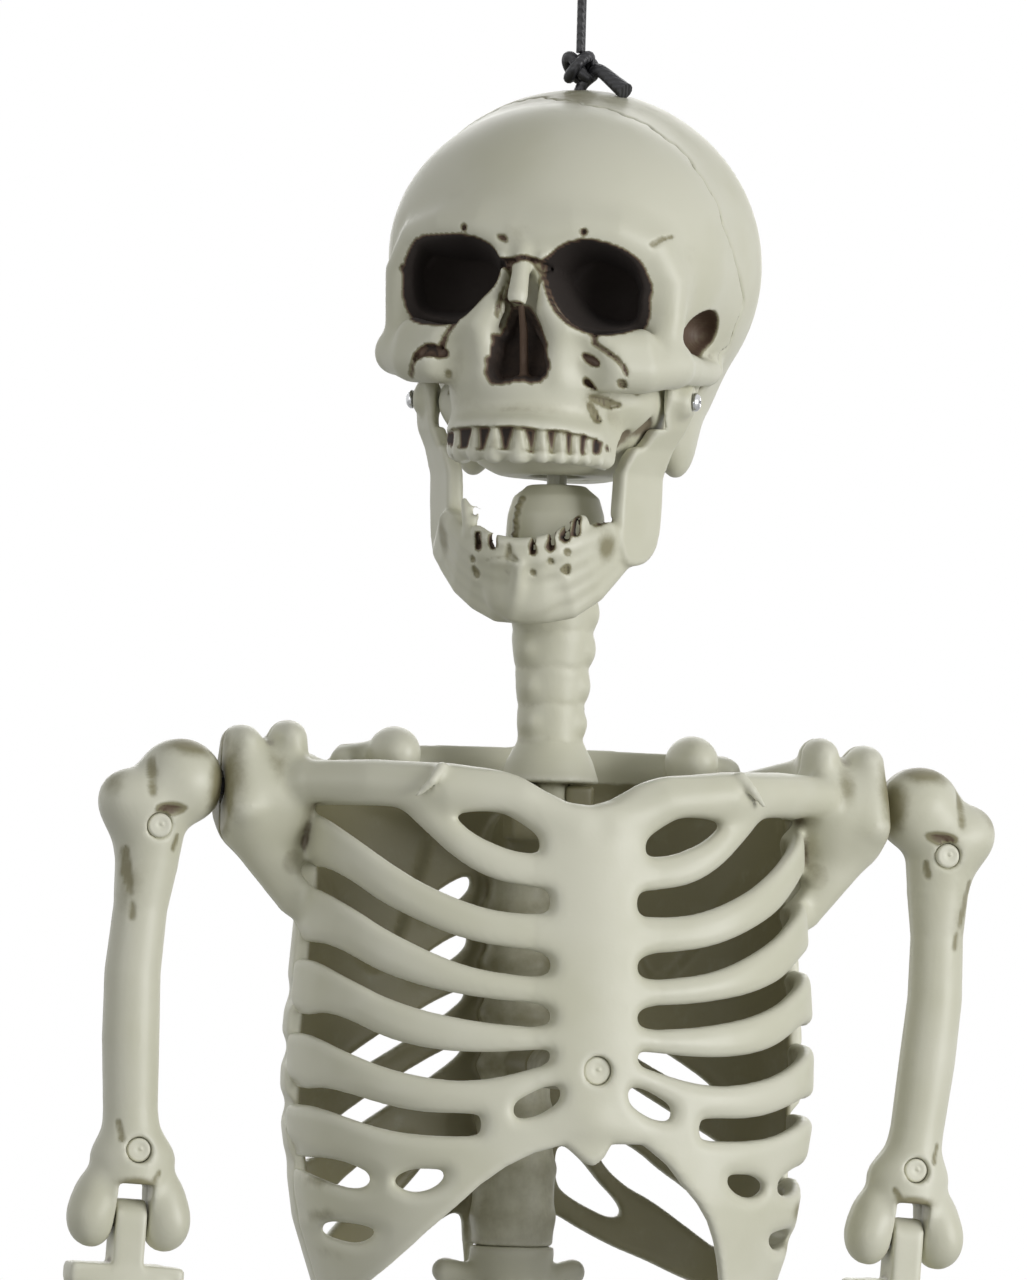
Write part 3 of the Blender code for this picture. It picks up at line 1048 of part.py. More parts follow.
def add_long_bone(name, side, parent, bone, steel, sizes, gather):
    """Closes a hollow limb bone: two halves, a fork at its far end, plugs and screws."""
    whole = cutter(name + "_whole", gather, parent)
    fuse(whole, 1.5 * MM, sizes["faces"])
    far = sizes["length"]
    fork = sizes["fork"]
    wide = sizes["width"]
    reach = 2 * far

    gather = bmesh.new()
    flat = sorted((side * sizes["face_gap"], -side * reach))
    box(gather, (flat[0], -reach, -reach), (flat[1], reach, wide))
    box(gather, (side * fork - sizes["slot"] / 2, -reach, -far - wide),
        (side * fork + sizes["slot"] / 2, reach, -far + sizes["slot_rise"]))
    combine(whole, "DIFFERENCE", cutter(name + "_flats", gather, parent))

    pocket = SHOULDER_PIN_HALF_LENGTH - SHOULDER_PIN_FLANGE_THICKNESS - SEAT_GAP
    shank = SHOULDER_PIN_SHANK / 2 + SEAT_GAP
    flange = SHOULDER_PIN_FLANGE / 2 + 2 * SEAT_GAP
    thick = SHOULDER_PIN_FLANGE_THICKNESS + 2 * SEAT_GAP
    pin = sizes["pin"] / 2 + SEAT_GAP
    gather = bmesh.new()
    turned(gather, (-side * pocket, 0, 0), OUT * side,
           ((0, shank), (2 * pocket, shank), (2 * pocket, flange), (2 * pocket + thick, flange)))
    turned(gather, (side * fork - wide / 2, 0, -far), OUT,
           ((2 * BONE_WALL - SEAT_GAP, pin), (wide - 2 * BONE_WALL + SEAT_GAP, pin)))
    core = sizes["shaft"] / 2 - BONE_WALL
    rod_points = sizes["core"]
    turned(gather, rod_points[0], rod_points[1] - rod_points[0],
           ((0, core * 0.6), (core, core), ((rod_points[1] - rod_points[0]).length - core, core),
            ((rod_points[1] - rod_points[0]).length, core * 0.6)), 8)
    combine(whole, "DIFFERENCE", cutter(name + "_hollows", gather, parent))

    bores = bmesh.new()
    for label, place, depth in sizes["plugs"]:
        front = -depth
        head_seat = front + PLUG_THICKNESS + SCREW_HEAD_HEIGHT + 3 * SEAT_GAP
        length = SCREW_HEAD_HEIGHT - head_seat + depth * 0.5
        at_front = Vector((place[0], front - depth, place[1]))
        wide_bore = PLUG_DIAMETER / 2 + SEAT_GAP
        thin_bore = SCREW_SHANK_DIAMETER / 2 + SEAT_GAP
        turned(bores, at_front, BACK,
               ((0, wide_bore), (head_seat + SEAT_GAP - at_front.y, wide_bore),
                (head_seat + SEAT_GAP - at_front.y, thin_bore),
                (head_seat + length - SCREW_HEAD_HEIGHT - at_front.y + SEAT_GAP, thin_bore)), 9)
        add_plug(name + "_plug_" + label, bone, parent, (place[0], front + SEAT_GAP, place[1]), BACK,
                 PLUG_DIAMETER)
        add_screw(name + "_screw_" + label, steel, parent,
                  (place[0], head_seat - SCREW_HEAD_HEIGHT, place[1]), BACK, SCREW_HEAD_DIAMETER, length)
    combine(whole, "DIFFERENCE", cutter(name + "_bores", bores, parent))

    for label, facing in (("front", 1), ("back", -1)):
        gather = bmesh.new()
        edge = sorted((facing * -SEAT_GAP / 2, facing * reach))
        box(gather, (-reach, edge[0], -reach), (reach, edge[1], reach))
        half = placed(name + "_" + label, bmesh.new(), bone, parent)
        combine(half, "UNION", whole)
        combine(half, "DIFFERENCE", cutter(name + "_" + label + "_split", gather, parent))


def add_pin(name, material, parent, middle, length, diameter):
    """A plain headless hinge pin across the figure."""
    gather = bmesh.new()
    turned(gather, Vector(middle) - OUT * length / 2, OUT,
           ((0, diameter * 0.4), (diameter * 0.1, diameter / 2), (length - diameter * 0.1, diameter / 2),
            (length, diameter * 0.4)))
    placed(name, gather, material, parent)


def add_flanged_pin(name, material, parent, place, side, inner):
    """A pin across a shoulder or hip, flanged where halves clamp it."""
    gather = bmesh.new()
    outer = SHOULDER_PIN_HALF_LENGTH
    thick = SHOULDER_PIN_FLANGE_THICKNESS
    shank = SHOULDER_PIN_SHANK / 2
    flange = SHOULDER_PIN_FLANGE / 2
    inside = ((-outer, flange), (thick - outer, flange), (thick - outer, shank))
    if inner:
        inside = ((-inner, shank),)
    turned(gather, place, OUT * side,
           inside + ((outer - thick, shank), (outer - thick, flange), (outer, flange)))
    placed(name, gather, material, parent)


def tongue(body, name, parent, middle, thickness, radius, drop, pin, fork_end=None):
    """Joins a round-nosed tongue to a limb and bores it for its pin."""
    middle = Vector(middle)
    outline = [(radius * math.cos(math.radians(angle)), radius * math.sin(math.radians(angle)))
               for angle in range(0, 181, 20)]
    outline += [(-radius, -drop), (radius, -drop)]
    rings = [[middle + Vector((x, y, z)) for y, z in outline] for x in (-thickness / 2, thickness / 2)]
    gather = bmesh.new()
    lofted(gather, rings)
    combine(body, "UNION", cutter(name + "_tongue", gather, parent))
    gather = bmesh.new()
    turned(gather, middle - OUT * thickness, OUT,
           ((0, pin / 2 + RUN_GAP), (2 * thickness, pin / 2 + RUN_GAP)))
    if fork_end:
        end, slot, reach, end_pin, end_width = fork_end
        end = Vector(end)
        fork = bmesh.new()
        box(fork, end - Vector((slot / 2, reach * 2, reach * 2)),
            end + Vector((slot / 2, reach * 2, reach)))
        combine(body, "DIFFERENCE", cutter(name + "_fork", fork, parent))
        turned(gather, end - OUT * (end_width / 2 - BONE_WALL), OUT,
               ((0, end_pin / 2 + SEAT_GAP), (end_width - 2 * BONE_WALL, end_pin / 2 + SEAT_GAP)))
    combine(body, "DIFFERENCE", cutter(name + "_bores", gather, parent))


def down_the_limb(side, offset, end_offset, length, rows):
    """Rod points down a limb: share of the way from offset to end offset, drop, radius."""
    return [(Vector((side * (offset + (end_offset - offset) * share), 0, -drop * length)), thick)
            for share, drop, thick in rows]


def add_arm(name, side, lean, bone, dark, steel):
    """One arm: hollow upper arm in halves, one-piece forearm and hand, on hinge pins."""
    label = "_" + name
    shoulder = frame_at("shoulder" + label, below_crown(side * SHOULDER_FACE, CHEST_BACK, SHOULDER_DROP),
                        (0, lean, 0))
    add_flanged_pin("shoulder_pin" + label, dark, shoulder, Vector((0, 0, 0)), side, None)

    mid = side * UPPER_ARM_OFFSET
    bend = side * ELBOW_OFFSET
    head = HUMERUS_HEAD_DIAMETER / 2
    low = UPPER_ARM_LENGTH
    knuckle = (ELBOW_WIDTH / 2 - ELBOW_KNUCKLE[0]) * OUT
    gather = bmesh.new()
    ball(gather, (side * head * 0.95, 0, 0), (head, head, head))
    ball(gather, (mid + side * HUMERUS_LUMP_OUT, 0, -HUMERUS_LUMP_DROP), HUMERUS_LUMP_RADII)
    rod(gather, down_the_limb(side, UPPER_ARM_OFFSET, ELBOW_OFFSET, low, HUMERUS_SHAFT))
    beads(gather, (Vector((bend, 0, ELBOW_KNUCKLE_RISE - low)) - knuckle,
                   Vector((bend, 0, ELBOW_KNUCKLE_RISE - low)) + knuckle), ELBOW_KNUCKLE)
    sizes = {
        "faces": 230, "face_gap": SHOULDER_FACE_GAP, "length": low, "fork": ELBOW_OFFSET,
        "width": ELBOW_WIDTH, "slot": ELBOW_SLOT, "slot_rise": ELBOW_SLOT_RISE,
        "pin": ELBOW_PIN_DIAMETER, "shaft": UPPER_ARM_SHAFT,
        "core": (Vector((mid, 0, -HUMERUS_CORE_TOP)),
                 Vector((bend, 0, ARM_PLUG_BOTTOM + PLUG_CLEAR - low))),
        "plugs": (("top", (side * ARM_PLUG_OUT, -ARM_PLUG_TOP), ARM_PLUG_TOP_DEPTH),
                  ("bottom", (bend, ARM_PLUG_BOTTOM - low), ARM_PLUG_BOTTOM_DEPTH)),
    }
    add_long_bone("upper_arm" + label, side, shoulder, bone, steel, sizes, gather)
    add_pin("elbow_pin" + label, dark, shoulder, (bend, 0, -low), ELBOW_WIDTH - 4 * BONE_WALL,
            ELBOW_PIN_DIAMETER)

    elbow = frame_at("elbow" + label, (bend, 0, -low), (0, 0, 0), shoulder)
    plate = FOREARM_PLATE_GAP + FOREARM_PLATE_RADII[2]
    gather = bmesh.new()
    ball(gather, (0, 0, -plate), FOREARM_PLATE_RADII)
    for way, share in ((-1, 1), (1, 0.9)):
        rod(gather, [(Vector((way * across, 0, -drop * FOREARM_LENGTH)), thick * share)
                     for across, drop, thick in FOREARM_BONE])
    ball(gather, (0, 0, WRIST_RISE - FOREARM_LENGTH), WRIST_RADII)
    forearm = placed("forearm" + label, gather, bone, elbow)
    fuse(forearm, 1.4 * MM, 220)
    wrist_end = ((0, 0, -FOREARM_LENGTH), WRIST_SLOT, WRIST_SLOT_RISE, WRIST_PIN_DIAMETER, WRIST_WIDTH)
    tongue(forearm, "forearm" + label, elbow, (0, 0, 0), ELBOW_SLOT - 2 * TONGUE_CLEARANCE,
           ELBOW_TONGUE_RADIUS, plate, ELBOW_PIN_DIAMETER, wrist_end)
    add_pin("wrist_pin" + label, dark, elbow, (0, 0, -FOREARM_LENGTH),
            WRIST_WIDTH - 2 * BONE_WALL - 2 * SEAT_GAP, WRIST_PIN_DIAMETER)

    wrist = frame_at("wrist" + label, (0, 0, -FOREARM_LENGTH), (0, 0, 0), elbow)
    gather = bmesh.new()
    ball(gather, (0, 0, -PALM_DROP), PALM_RADII)
    for finger, tip in enumerate(FINGER_TIPS):
        across = side * (finger - 1.5) / 1.5
        root = Vector((across * PALM_RADII[0] * 0.64, 0, -PALM_DROP))
        knuckle = Vector((across * (HAND_WIDTH / 2 - FINGER_DIAMETER), 0, -HAND_LENGTH * KNUCKLE_SHARE))
        end = Vector((across * (HAND_WIDTH - FINGER_DIAMETER) / 2, -FINGER_CURL,
                      FINGER_DIAMETER / 2 - HAND_LENGTH * tip))
        rod(gather, [(root.lerp(knuckle, share), thick * FINGER_DIAMETER) for share, thick in PALM_BONE])
        rod(gather, [(knuckle.lerp(end, share), thick * FINGER_DIAMETER) for share, thick in FINGER_BONE])
    rod(gather, [(Vector((-side * inward, -forward, -down)), thick)
                 for inward, forward, down, thick in THUMB_BONE])
    hand = placed("hand" + label, gather, bone, wrist)
    fuse(hand, 1.1 * MM, 400, None, 3)
    tongue(hand, "hand" + label, wrist, (0, 0, 0), WRIST_SLOT - 2 * TONGUE_CLEARANCE,
           WRIST_TONGUE_RADIUS, PALM_DROP, WRIST_PIN_DIAMETER)


def add_leg(name, side, bone, dark, steel):
    """One leg: hollow thigh in halves, one-piece shin and foot, on hinge pins."""
    label = "_" + name
    hip = frame_at("hip" + label, below_crown(side * HIP_FACE, HIP_BACK, HIP_DROP))
    add_flanged_pin("hip_pin" + label, dark, hip, Vector((0, 0, 0)), side, HIP_PIN_DEPTH - SEAT_GAP)

    head = FEMUR_HEAD_DIAMETER / 2
    mid = side * THIGH_OFFSET
    bend = side * KNEE_OFFSET
    low = THIGH_LENGTH
    knuckle = (KNEE_WIDTH / 2 - KNEE_KNUCKLE[0]) * OUT
    gather = bmesh.new()
    ball(gather, (side * head * 0.9, 0, 0), (head, head, head))
    ball(gather, (mid + side * FEMUR_LUMP_OUT, 0, FEMUR_LUMP_RISE), FEMUR_LUMP_RADII)
    rod(gather, down_the_limb(side, THIGH_OFFSET, KNEE_OFFSET, low, FEMUR_SHAFT))
    beads(gather, (Vector((bend, 0, KNEE_KNUCKLE_RISE - low)) - knuckle,
                   Vector((bend, 0, KNEE_KNUCKLE_RISE - low)) + knuckle), KNEE_KNUCKLE)
    sizes = {
        "faces": 230, "face_gap": RUN_GAP, "length": low, "fork": KNEE_OFFSET,
        "width": KNEE_WIDTH, "slot": KNEE_SLOT, "slot_rise": KNEE_SLOT_RISE,
        "pin": KNEE_PIN_DIAMETER, "shaft": THIGH_SHAFT,
        "core": (Vector((mid, 0, -FEMUR_CORE_TOP)), Vector((bend, 0, LEG_PLUG_BOTTOM + PLUG_CLEAR - low))),
        "plugs": (("top", (mid, -LEG_PLUG_TOP), LEG_PLUG_TOP_DEPTH),
                  ("bottom", (bend, LEG_PLUG_BOTTOM - low), LEG_PLUG_BOTTOM_DEPTH)),
    }
    add_long_bone("thigh" + label, side, hip, bone, steel, sizes, gather)
    add_pin("knee_pin" + label, dark, hip, (bend, 0, -low), KNEE_WIDTH - 4 * BONE_WALL, KNEE_PIN_DIAMETER)

    knee = frame_at("knee" + label, (bend, 0, -low), (0, 0, 0), hip)
    plate = SHIN_PLATE_GAP + SHIN_PLATE_RADII[2]
    gather = bmesh.new()
    ball(gather, (0, 0, -plate), SHIN_PLATE_RADII)
    for rows in (TIBIA, FIBULA):
        rod(gather, [(Vector((side * out, back, -drop * SHIN_LENGTH)), thick)
                     for out, back, drop, thick in rows])
    ball(gather, (0, 0, ANKLE_RISE - SHIN_LENGTH), ANKLE_RADII)
    shin = placed("shin" + label, gather, bone, knee)
    fuse(shin, 1.5 * MM, 220)
    ankle_end = ((0, 0, -SHIN_LENGTH), ANKLE_SLOT, ANKLE_SLOT_RISE, ANKLE_PIN_DIAMETER, ANKLE_WIDTH)
    tongue(shin, "shin" + label, knee, (0, 0, 0), KNEE_SLOT - 2 * TONGUE_CLEARANCE, KNEE_TONGUE_RADIUS,
           plate, KNEE_PIN_DIAMETER, ankle_end)
    add_pin("ankle_pin" + label, dark, knee, (0, 0, -SHIN_LENGTH),
            ANKLE_WIDTH - 2 * BONE_WALL - 2 * SEAT_GAP, ANKLE_PIN_DIAMETER)

    ankle = frame_at("ankle" + label, (0, 0, -SHIN_LENGTH), (0, 0, 0), knee)
    gather = bmesh.new()
    for back, rise, radii in FOOT_LUMPS:
        ball(gather, (0, back * FOOT_LENGTH, rise - FOOT_HEIGHT), radii)
    for toe in range(5):
        across = -side * (toe - 2) / 2
        reach = TOE_REACH - TOE_STEP * abs(toe - 0.5)
        thick = TOE_DIAMETER / 2 * (1.28 if toe == 0 else 1)
        root = Vector((across * FOOT_WIDTH * 0.2, -FOOT_LENGTH * 0.12, FOOT_HEIGHT * -0.65))
        ball_joint = Vector((across * (FOOT_WIDTH / 2 - TOE_DIAMETER * 0.7),
                             -FOOT_LENGTH * (reach - 0.22), TOE_DIAMETER * 0.7 - FOOT_HEIGHT))
        tip = Vector((across * (FOOT_WIDTH - TOE_DIAMETER) / 2, -FOOT_LENGTH * reach,
                      TOE_DIAMETER / 2 - FOOT_HEIGHT))
        rod(gather, [(root, TOE_DIAMETER * 0.7), (root.lerp(ball_joint, 0.6), thick * 0.86),
                     (ball_joint, thick), (ball_joint.lerp(tip, 0.5), thick * 0.76), (tip, thick * 0.9)])
    foot = placed("foot" + label, gather, bone, ankle)
    fuse(foot, 1.3 * MM, 300, None, 3)
    tongue(foot, "foot" + label, ankle, (0, 0, 0), ANKLE_SLOT - 2 * TONGUE_CLEARANCE,
           ANKLE_TONGUE_RADIUS, FOOT_TONGUE, ANKLE_PIN_DIAMETER)


def cord_place():
    """Where the cord leaves the turned head, seen from the neck axis."""
    return Matrix.Rotation(HEAD_TURN, 3, "Z") @ Vector((0, CORD_BACK, 0))


def hang_from_origin():
    """Shifts the figure, built round its neck axis, so that its cord is on the Z axis."""
    figure = frame_at("figure", -cord_place())
    for body in list(bpy.data.objects):
        if body.parent is None and body is not figure:
            body.parent = figure


def build():
    """Makes the whole figure."""
    clear_scene()
    bone = plastic("ivory_plastic", (0.73, 0.72, 0.62), 0.42)
    dark = plastic("dark_plastic", (0.03, 0.03, 0.03), 0.45)
    steel = plastic("plated_steel", (0.66, 0.66, 0.66), 0.25, 1.0)
    cord = plastic("black_cord", (0.015, 0.015, 0.016), 0.75)

    head = frame_at("head", (0, 0, CROWN - SKULL_HEIGHT), (0, 0, HEAD_TURN))
    add_skull(bone, head)
    add_jaw(bone, steel, head)
    add_cord(cord)
    add_neck(bone, dark)

    faces, sockets = chest_cutters()
    seat = add_chest_front(bone, faces, sockets)
    add_chest_rear(bone, faces, sockets)
    add_screw("sternum_screw", steel, None,
              below_crown(0, seat - SEAT_GAP - SCREW_HEAD_HEIGHT, STERNUM_SCREW_DROP), BACK,
              SCREW_HEAD_DIAMETER, STERNUM_SCREW_LENGTH)
    add_plug("sternum_plug", bone, None,
             below_crown(0, sternum_front(STERNUM_SCREW_DROP) - STERNUM_PLUG_PROUD,
                         STERNUM_SCREW_DROP), BACK,
             STERNUM_PLUG_DIAMETER)
    add_lumbar(bone)
    add_pelvis(bone)
    for name, side, lean in (("left", 1, ARM_LEAN_LEFT), ("right", -1, ARM_LEAN_RIGHT)):
        add_arm(name, side, lean, bone, dark, steel)
        add_leg(name, side, bone, dark, steel)
    hang_from_origin()


build()
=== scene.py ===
import math
import bpy
import numpy as np
from mathutils import Matrix, Vector


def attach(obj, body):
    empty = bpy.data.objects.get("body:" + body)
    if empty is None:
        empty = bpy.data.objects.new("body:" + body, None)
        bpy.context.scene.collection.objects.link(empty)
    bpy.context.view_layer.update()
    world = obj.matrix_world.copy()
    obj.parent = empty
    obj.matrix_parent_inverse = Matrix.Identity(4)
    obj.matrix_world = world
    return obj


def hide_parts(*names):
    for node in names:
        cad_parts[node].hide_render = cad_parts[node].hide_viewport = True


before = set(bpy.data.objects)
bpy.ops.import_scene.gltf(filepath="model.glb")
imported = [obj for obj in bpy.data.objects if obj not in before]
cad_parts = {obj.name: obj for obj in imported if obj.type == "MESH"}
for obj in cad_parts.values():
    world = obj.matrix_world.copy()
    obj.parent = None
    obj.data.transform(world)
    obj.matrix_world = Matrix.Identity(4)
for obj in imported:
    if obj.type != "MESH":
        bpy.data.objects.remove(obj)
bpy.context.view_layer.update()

# The picture. The figure hangs free and is seen from a little to its own right, from the
# height of its breast, through a long lens. The top of the cord and the legs stay outside.
MM = 0.001
camera_data = bpy.data.cameras.new("camera")
camera_data.lens = 206.434
camera = bpy.data.objects.new("camera", camera_data)
camera_right = Vector((0.96531, -0.2598, 0.02615))
camera_up = Vector((-0.03621, -0.03401, 0.99877))
camera_turn = Matrix((camera_right, camera_up, camera_right.cross(camera_up))).transposed()
camera.matrix_world = Matrix.Translation((-0.591221, -2.14548, -0.3185)) @ camera_turn.to_4x4()
bpy.context.scene.collection.objects.link(camera)
bpy.context.scene.camera = camera


# The hanging cord: waxed black nylon, braided. It comes out of the crown, is tied in one
# fat overhand knot with a short cut tail, and runs up as a narrow loop to its hook.
def linear(code):
    """A colour written as sRGB hex, as the linear values that shaders take."""
    parts = [int(code[i:i + 2], 16) / 255 for i in (1, 3, 5)]
    return tuple(c / 12.92 if c <= 0.04045 else ((c + 0.055) / 1.055) ** 2.4 for c in parts) + (1,)


def node(tree, kind, sockets=None, **settings):
    """Adds a shader node: settings are its properties, sockets its inputs or what feeds them."""
    made = tree.nodes.new("ShaderNode" + kind)
    for key, value in settings.items():
        setattr(made, key, value)
    for key, value in (sockets or {}).items():
        if isinstance(value, bpy.types.NodeSocket):
            tree.links.new(value, made.inputs[key])
        else:
            made.inputs[key].default_value = value
    return made


def surface_of(material):
    """Starts a material's nodes: its tree, its surface and the place on the piece."""
    material.use_nodes = True
    tree = material.node_tree
    return tree, tree.nodes["Principled BSDF"], node(tree, "TexCoord").outputs["Object"]


def waxed_braid():
    """Black braided nylon, waxed: the strands give short slanting glints on deep black."""
    material = bpy.data.materials.new("waxed_nylon_braid")
    tree, skin, place = surface_of(material)
    strands = node(tree, "TexWave", {"Vector": place, "Scale": 0.31 / (1.1 * MM), "Distortion": 2.0,
                                     "Detail": 1.0}, bands_direction="DIAGONAL").outputs["Fac"]
    fuzz = node(tree, "TexNoise", {"Vector": place, "Scale": 1 / (0.8 * MM)}).outputs["Fac"]
    colour = node(tree, "Mix", {0: strands, 6: linear("#121214"), 7: linear("#2B2B2F")},
                  data_type="RGBA").outputs[2]
    tree.links.new(colour, skin.inputs["Base Color"])
    rough = node(tree, "MapRange", {"Value": fuzz, "To Min": 0.32, "To Max": 0.58}).outputs[0]
    tree.links.new(rough, skin.inputs["Roughness"])
    bump = node(tree, "Bump", {"Height": strands, "Strength": 0.5, "Distance": 0.25 * MM}).outputs[0]
    tree.links.new(bump, skin.inputs["Normal"])
    skin.inputs["IOR"].default_value = 1.53
    return material


def link(thing, body, nodes):
    """Hangs a piece on its body and hides what it stands for."""
    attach(thing, body)
    if nodes:
        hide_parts(*nodes)
    return thing


def cord_run(name, points, radius, material, kind="POLY"):
    """A round cord through points in metres; a point may carry its own share of the radius."""
    curve = bpy.data.curves.new(name, "CURVE")
    curve.dimensions = "3D"
    curve.bevel_depth = radius
    curve.bevel_resolution = 4
    curve.use_fill_caps = True
    curve.resolution_u = 6
    spline = curve.splines.new(kind)
    spline.points.add(len(points) - 1)
    for point, place in zip(spline.points, points):
        point.co = tuple(place[:3]) + (1,)
        point.radius = place[3] if len(place) > 3 else 1
    if kind == "NURBS":
        spline.order_u = 4
        spline.use_endpoint_u = True
    curve.materials.append(material)
    run = bpy.data.objects.new(name, curve)
    bpy.context.scene.collection.objects.link(run)
    return run


braid = waxed_braid()
CORD = 2.8 * MM
LOOP_FOOT = -44.76 * MM
LOOP_HALF = 5.5 * MM
LOOP_TURN = math.radians(15)
loop_arc = CORD / 2 - LOOP_HALF
leg = []
for step in range(6):
    bow = math.sin(step / 6 * math.pi / 2) ** 2
    leg.append((LOOP_HALF * (0.35 + 0.65 * bow), LOOP_FOOT + (loop_arc - LOOP_FOOT) * step / 6))
for angle in range(0, 91, 15):
    turn = math.radians(angle)
    leg.append((LOOP_HALF * math.cos(turn), loop_arc + LOOP_HALF * math.sin(turn)))
flat_loop = leg + [(-across, height) for across, height in reversed(leg[:-1])]
loop_points = [Vector((a * math.sin(LOOP_TURN), a * math.cos(LOOP_TURN), z)) for a, z in flat_loop]
loop = link(cord_run("hanging_loop_cord", loop_points, CORD / 2, braid), "head", ["hanging_loop"])

KNOT = Vector((0, 0, -49.6 * MM))
knot_turns = []
for step in range(25):
    turn = step / 24 * 4 * math.pi - 0.6
    swing = 3.7 + 1.1 * math.cos(1.5 * turn)
    knot_turns.append(KNOT + Vector((swing * math.cos(turn), swing * math.sin(turn),
                                     3.6 * math.sin(1.5 * turn))) * MM)
knot_path = [KNOT + Vector((-0.4, -0.3, -11.5)) * MM, KNOT + Vector((-1.2, -0.5, -6)) * MM] + knot_turns
for tail in ((3.6, -4.4, 0.2, 1.1), (6.2, -8.4, -3, 1.2), (9, -12.4, -6.6, 1.4), (10.4, -14.6, -8.2, 1.5)):
    knot_path.append(tuple(KNOT + Vector(tail[:3]) * MM) + (tail[3],))
knot = link(cord_run("cord_knot_and_tail", knot_path, CORD / 2 * 1.25, braid, "NURBS"),
            "head", ["cord_knot"])


# The skull: one blow-moulded shell of ivory polyethylene. Its sockets and nose are painted
# dark brown and a thin brown wash is wiped over it, so that it stays in the hollows. The hollows also carry painted
# shade.
class Mould:
    """A solid held as distances on a grid of points, in millimetres, below zero inside."""

    def __init__(self, low, high, cell):
        self.cell = cell
        self.low = np.array(low, float)
        self.lines = [np.arange(a, b + cell, cell, dtype=np.float32) for a, b in zip(low, high)]
        self.gap = np.full([len(line) for line in self.lines], 9, np.float32)
        # Darkening laid on the surface, nought to one: wash, paint and painted shade.
        self.stain = np.zeros_like(self.gap)
        self.fullness = None

    def near(self, low, high, margin):
        """The part of the grid round a box, and its coordinates."""
        where = []
        for line, a, b, start in zip(self.lines, low, high, self.low):
            first = max(int((a - margin - start) / self.cell), 0)
            last = min(int((b + margin - start) / self.cell) + 2, len(line))
            where.append(slice(first, max(first, last)))
        x, y, z = (line[part] for line, part in zip(self.lines, where))
        return tuple(where), x[:, None, None], y[None, :, None], z[None, None, :]

    def press(self, where, gap, soft=2.0, cut=False, stain=0.0, edge=0.9, mask=None):
        """Joins a form to the solid or cuts it away, with a fillet; the form or its mask takes the given level of wash,
        paint and painted shade.
        """
        old = self.gap[where]
        wash_paint_and_shade_level = np.clip(1 - (gap if mask is None else mask) / edge, 0, 1) if stain else 0
        if stain > 0:
            self.stain[where] = np.maximum(self.stain[where], stain * wash_paint_and_shade_level)
        elif stain:
            self.stain[where] *= 1 + stain * wash_paint_and_shade_level
        if cut:
            gap = -gap
        ease = np.maximum(soft - np.abs(old - gap), 0) ** 2 / (4 * soft)
        self.gap[where] = np.maximum(old, gap) + ease if cut else np.minimum(old, gap) - ease

    def ball(self, centre, radii, soft=2.0, turn=None, **how):
        """An ellipsoid."""
        reach = max(radii)
        where, x, y, z = self.near([c - reach for c in centre], [c + reach for c in centre], soft + 2)
        x, y, z = x - centre[0], y - centre[1], z - centre[2]
        if turn is not None:
            x, y, z = (row[0] * x + row[1] * y + row[2] * z for row in turn.transposed())
        far = np.sqrt((x / radii[0]) ** 2 + (y / radii[1]) ** 2 + (z / radii[2]) ** 2)
        steep = np.sqrt((x / radii[0] ** 2) ** 2 + (y / radii[1] ** 2) ** 2 + (z / radii[2] ** 2) ** 2)
        self.press(where, far * (far - 1) / np.maximum(steep, 1e-5), soft, **how)

    def rod(self, points, soft=2.0, flat=(1, 1, 1), **how):
        """A bar through points (x, y, z, radius), stretched or flattened along the axes."""
        points = np.array(points, float)
        flat = np.array(flat, float)
        place, radius = points[:, :3] / flat, points[:, 3]
        low = ((place - radius[:, None]) * flat).min(0)
        high = ((place + radius[:, None]) * flat).max(0)
        where, x, y, z = self.near(low, high, soft + 2)
        x, y, z = x / flat[0], y / flat[1], z / flat[2]
        gap = None
        for a, b, thick, end in zip(place, place[1:], radius, radius[1:]):
            way = b - a
            share = ((x - a[0]) * way[0] + (y - a[1]) * way[1] + (z - a[2]) * way[2]) / max(way @ way, 1e-9)
            share = np.clip(share, 0, 1)
            bar = np.sqrt((x - a[0] - share * way[0]) ** 2 + (y - a[1] - share * way[1]) ** 2
                          + (z - a[2] - share * way[2]) ** 2) - thick - share * (end - thick)
            gap = bar if gap is None else np.minimum(gap, bar)
        self.press(where, gap * flat.min(), soft, **how)

    def block(self, centre, half, rounding=1.0, soft=1.0, turn=None, **how):
        """A box with rounded edges."""
        reach = math.sqrt(sum(h * h for h in half)) if turn is not None else 0
        low = [c - max(h, reach) for c, h in zip(centre, half)]
        high = [c + max(h, reach) for c, h in zip(centre, half)]
        where, x, y, z = self.near(low, high, soft + 2)
        x, y, z = x - centre[0], y - centre[1], z - centre[2]
        if turn is not None:
            x, y, z = (row[0] * x + row[1] * y + row[2] * z for row in turn.transposed())
        over = [np.abs(v) - h + rounding for v, h in zip((x, y, z), half)]
        outside = np.sqrt(sum(np.maximum(v, 0) ** 2 for v in over))
        inside = np.minimum(np.maximum(np.maximum(over[0], over[1]), over[2]), 0)
        self.press(where, outside + inside - rounding, soft, **how)

    def drum(self, start, axis, profile, soft=1.0, **how):
        """A turned form along an axis (0, 1 or 2) from a point: (distance, radius) pairs."""
        along, wide = np.array(profile, float).T
        low = [c - wide.max() for c in start]
        high = [c + wide.max() for c in start]
        low[axis], high[axis] = start[axis] + along.min(), start[axis] + along.max()
        where, *grid = self.near(low, high, soft + 2)
        grid = [g - c for g, c in zip(grid, start)]
        run = grid.pop(axis)
        radius = np.interp(run, along, wide).astype(np.float32)
        ends = np.abs(run - (along.min() + along.max()) / 2) - (along.max() - along.min()) / 2
        self.press(where, np.maximum(np.sqrt(grid[0] ** 2 + grid[1] ** 2) - radius, ends), soft, **how)

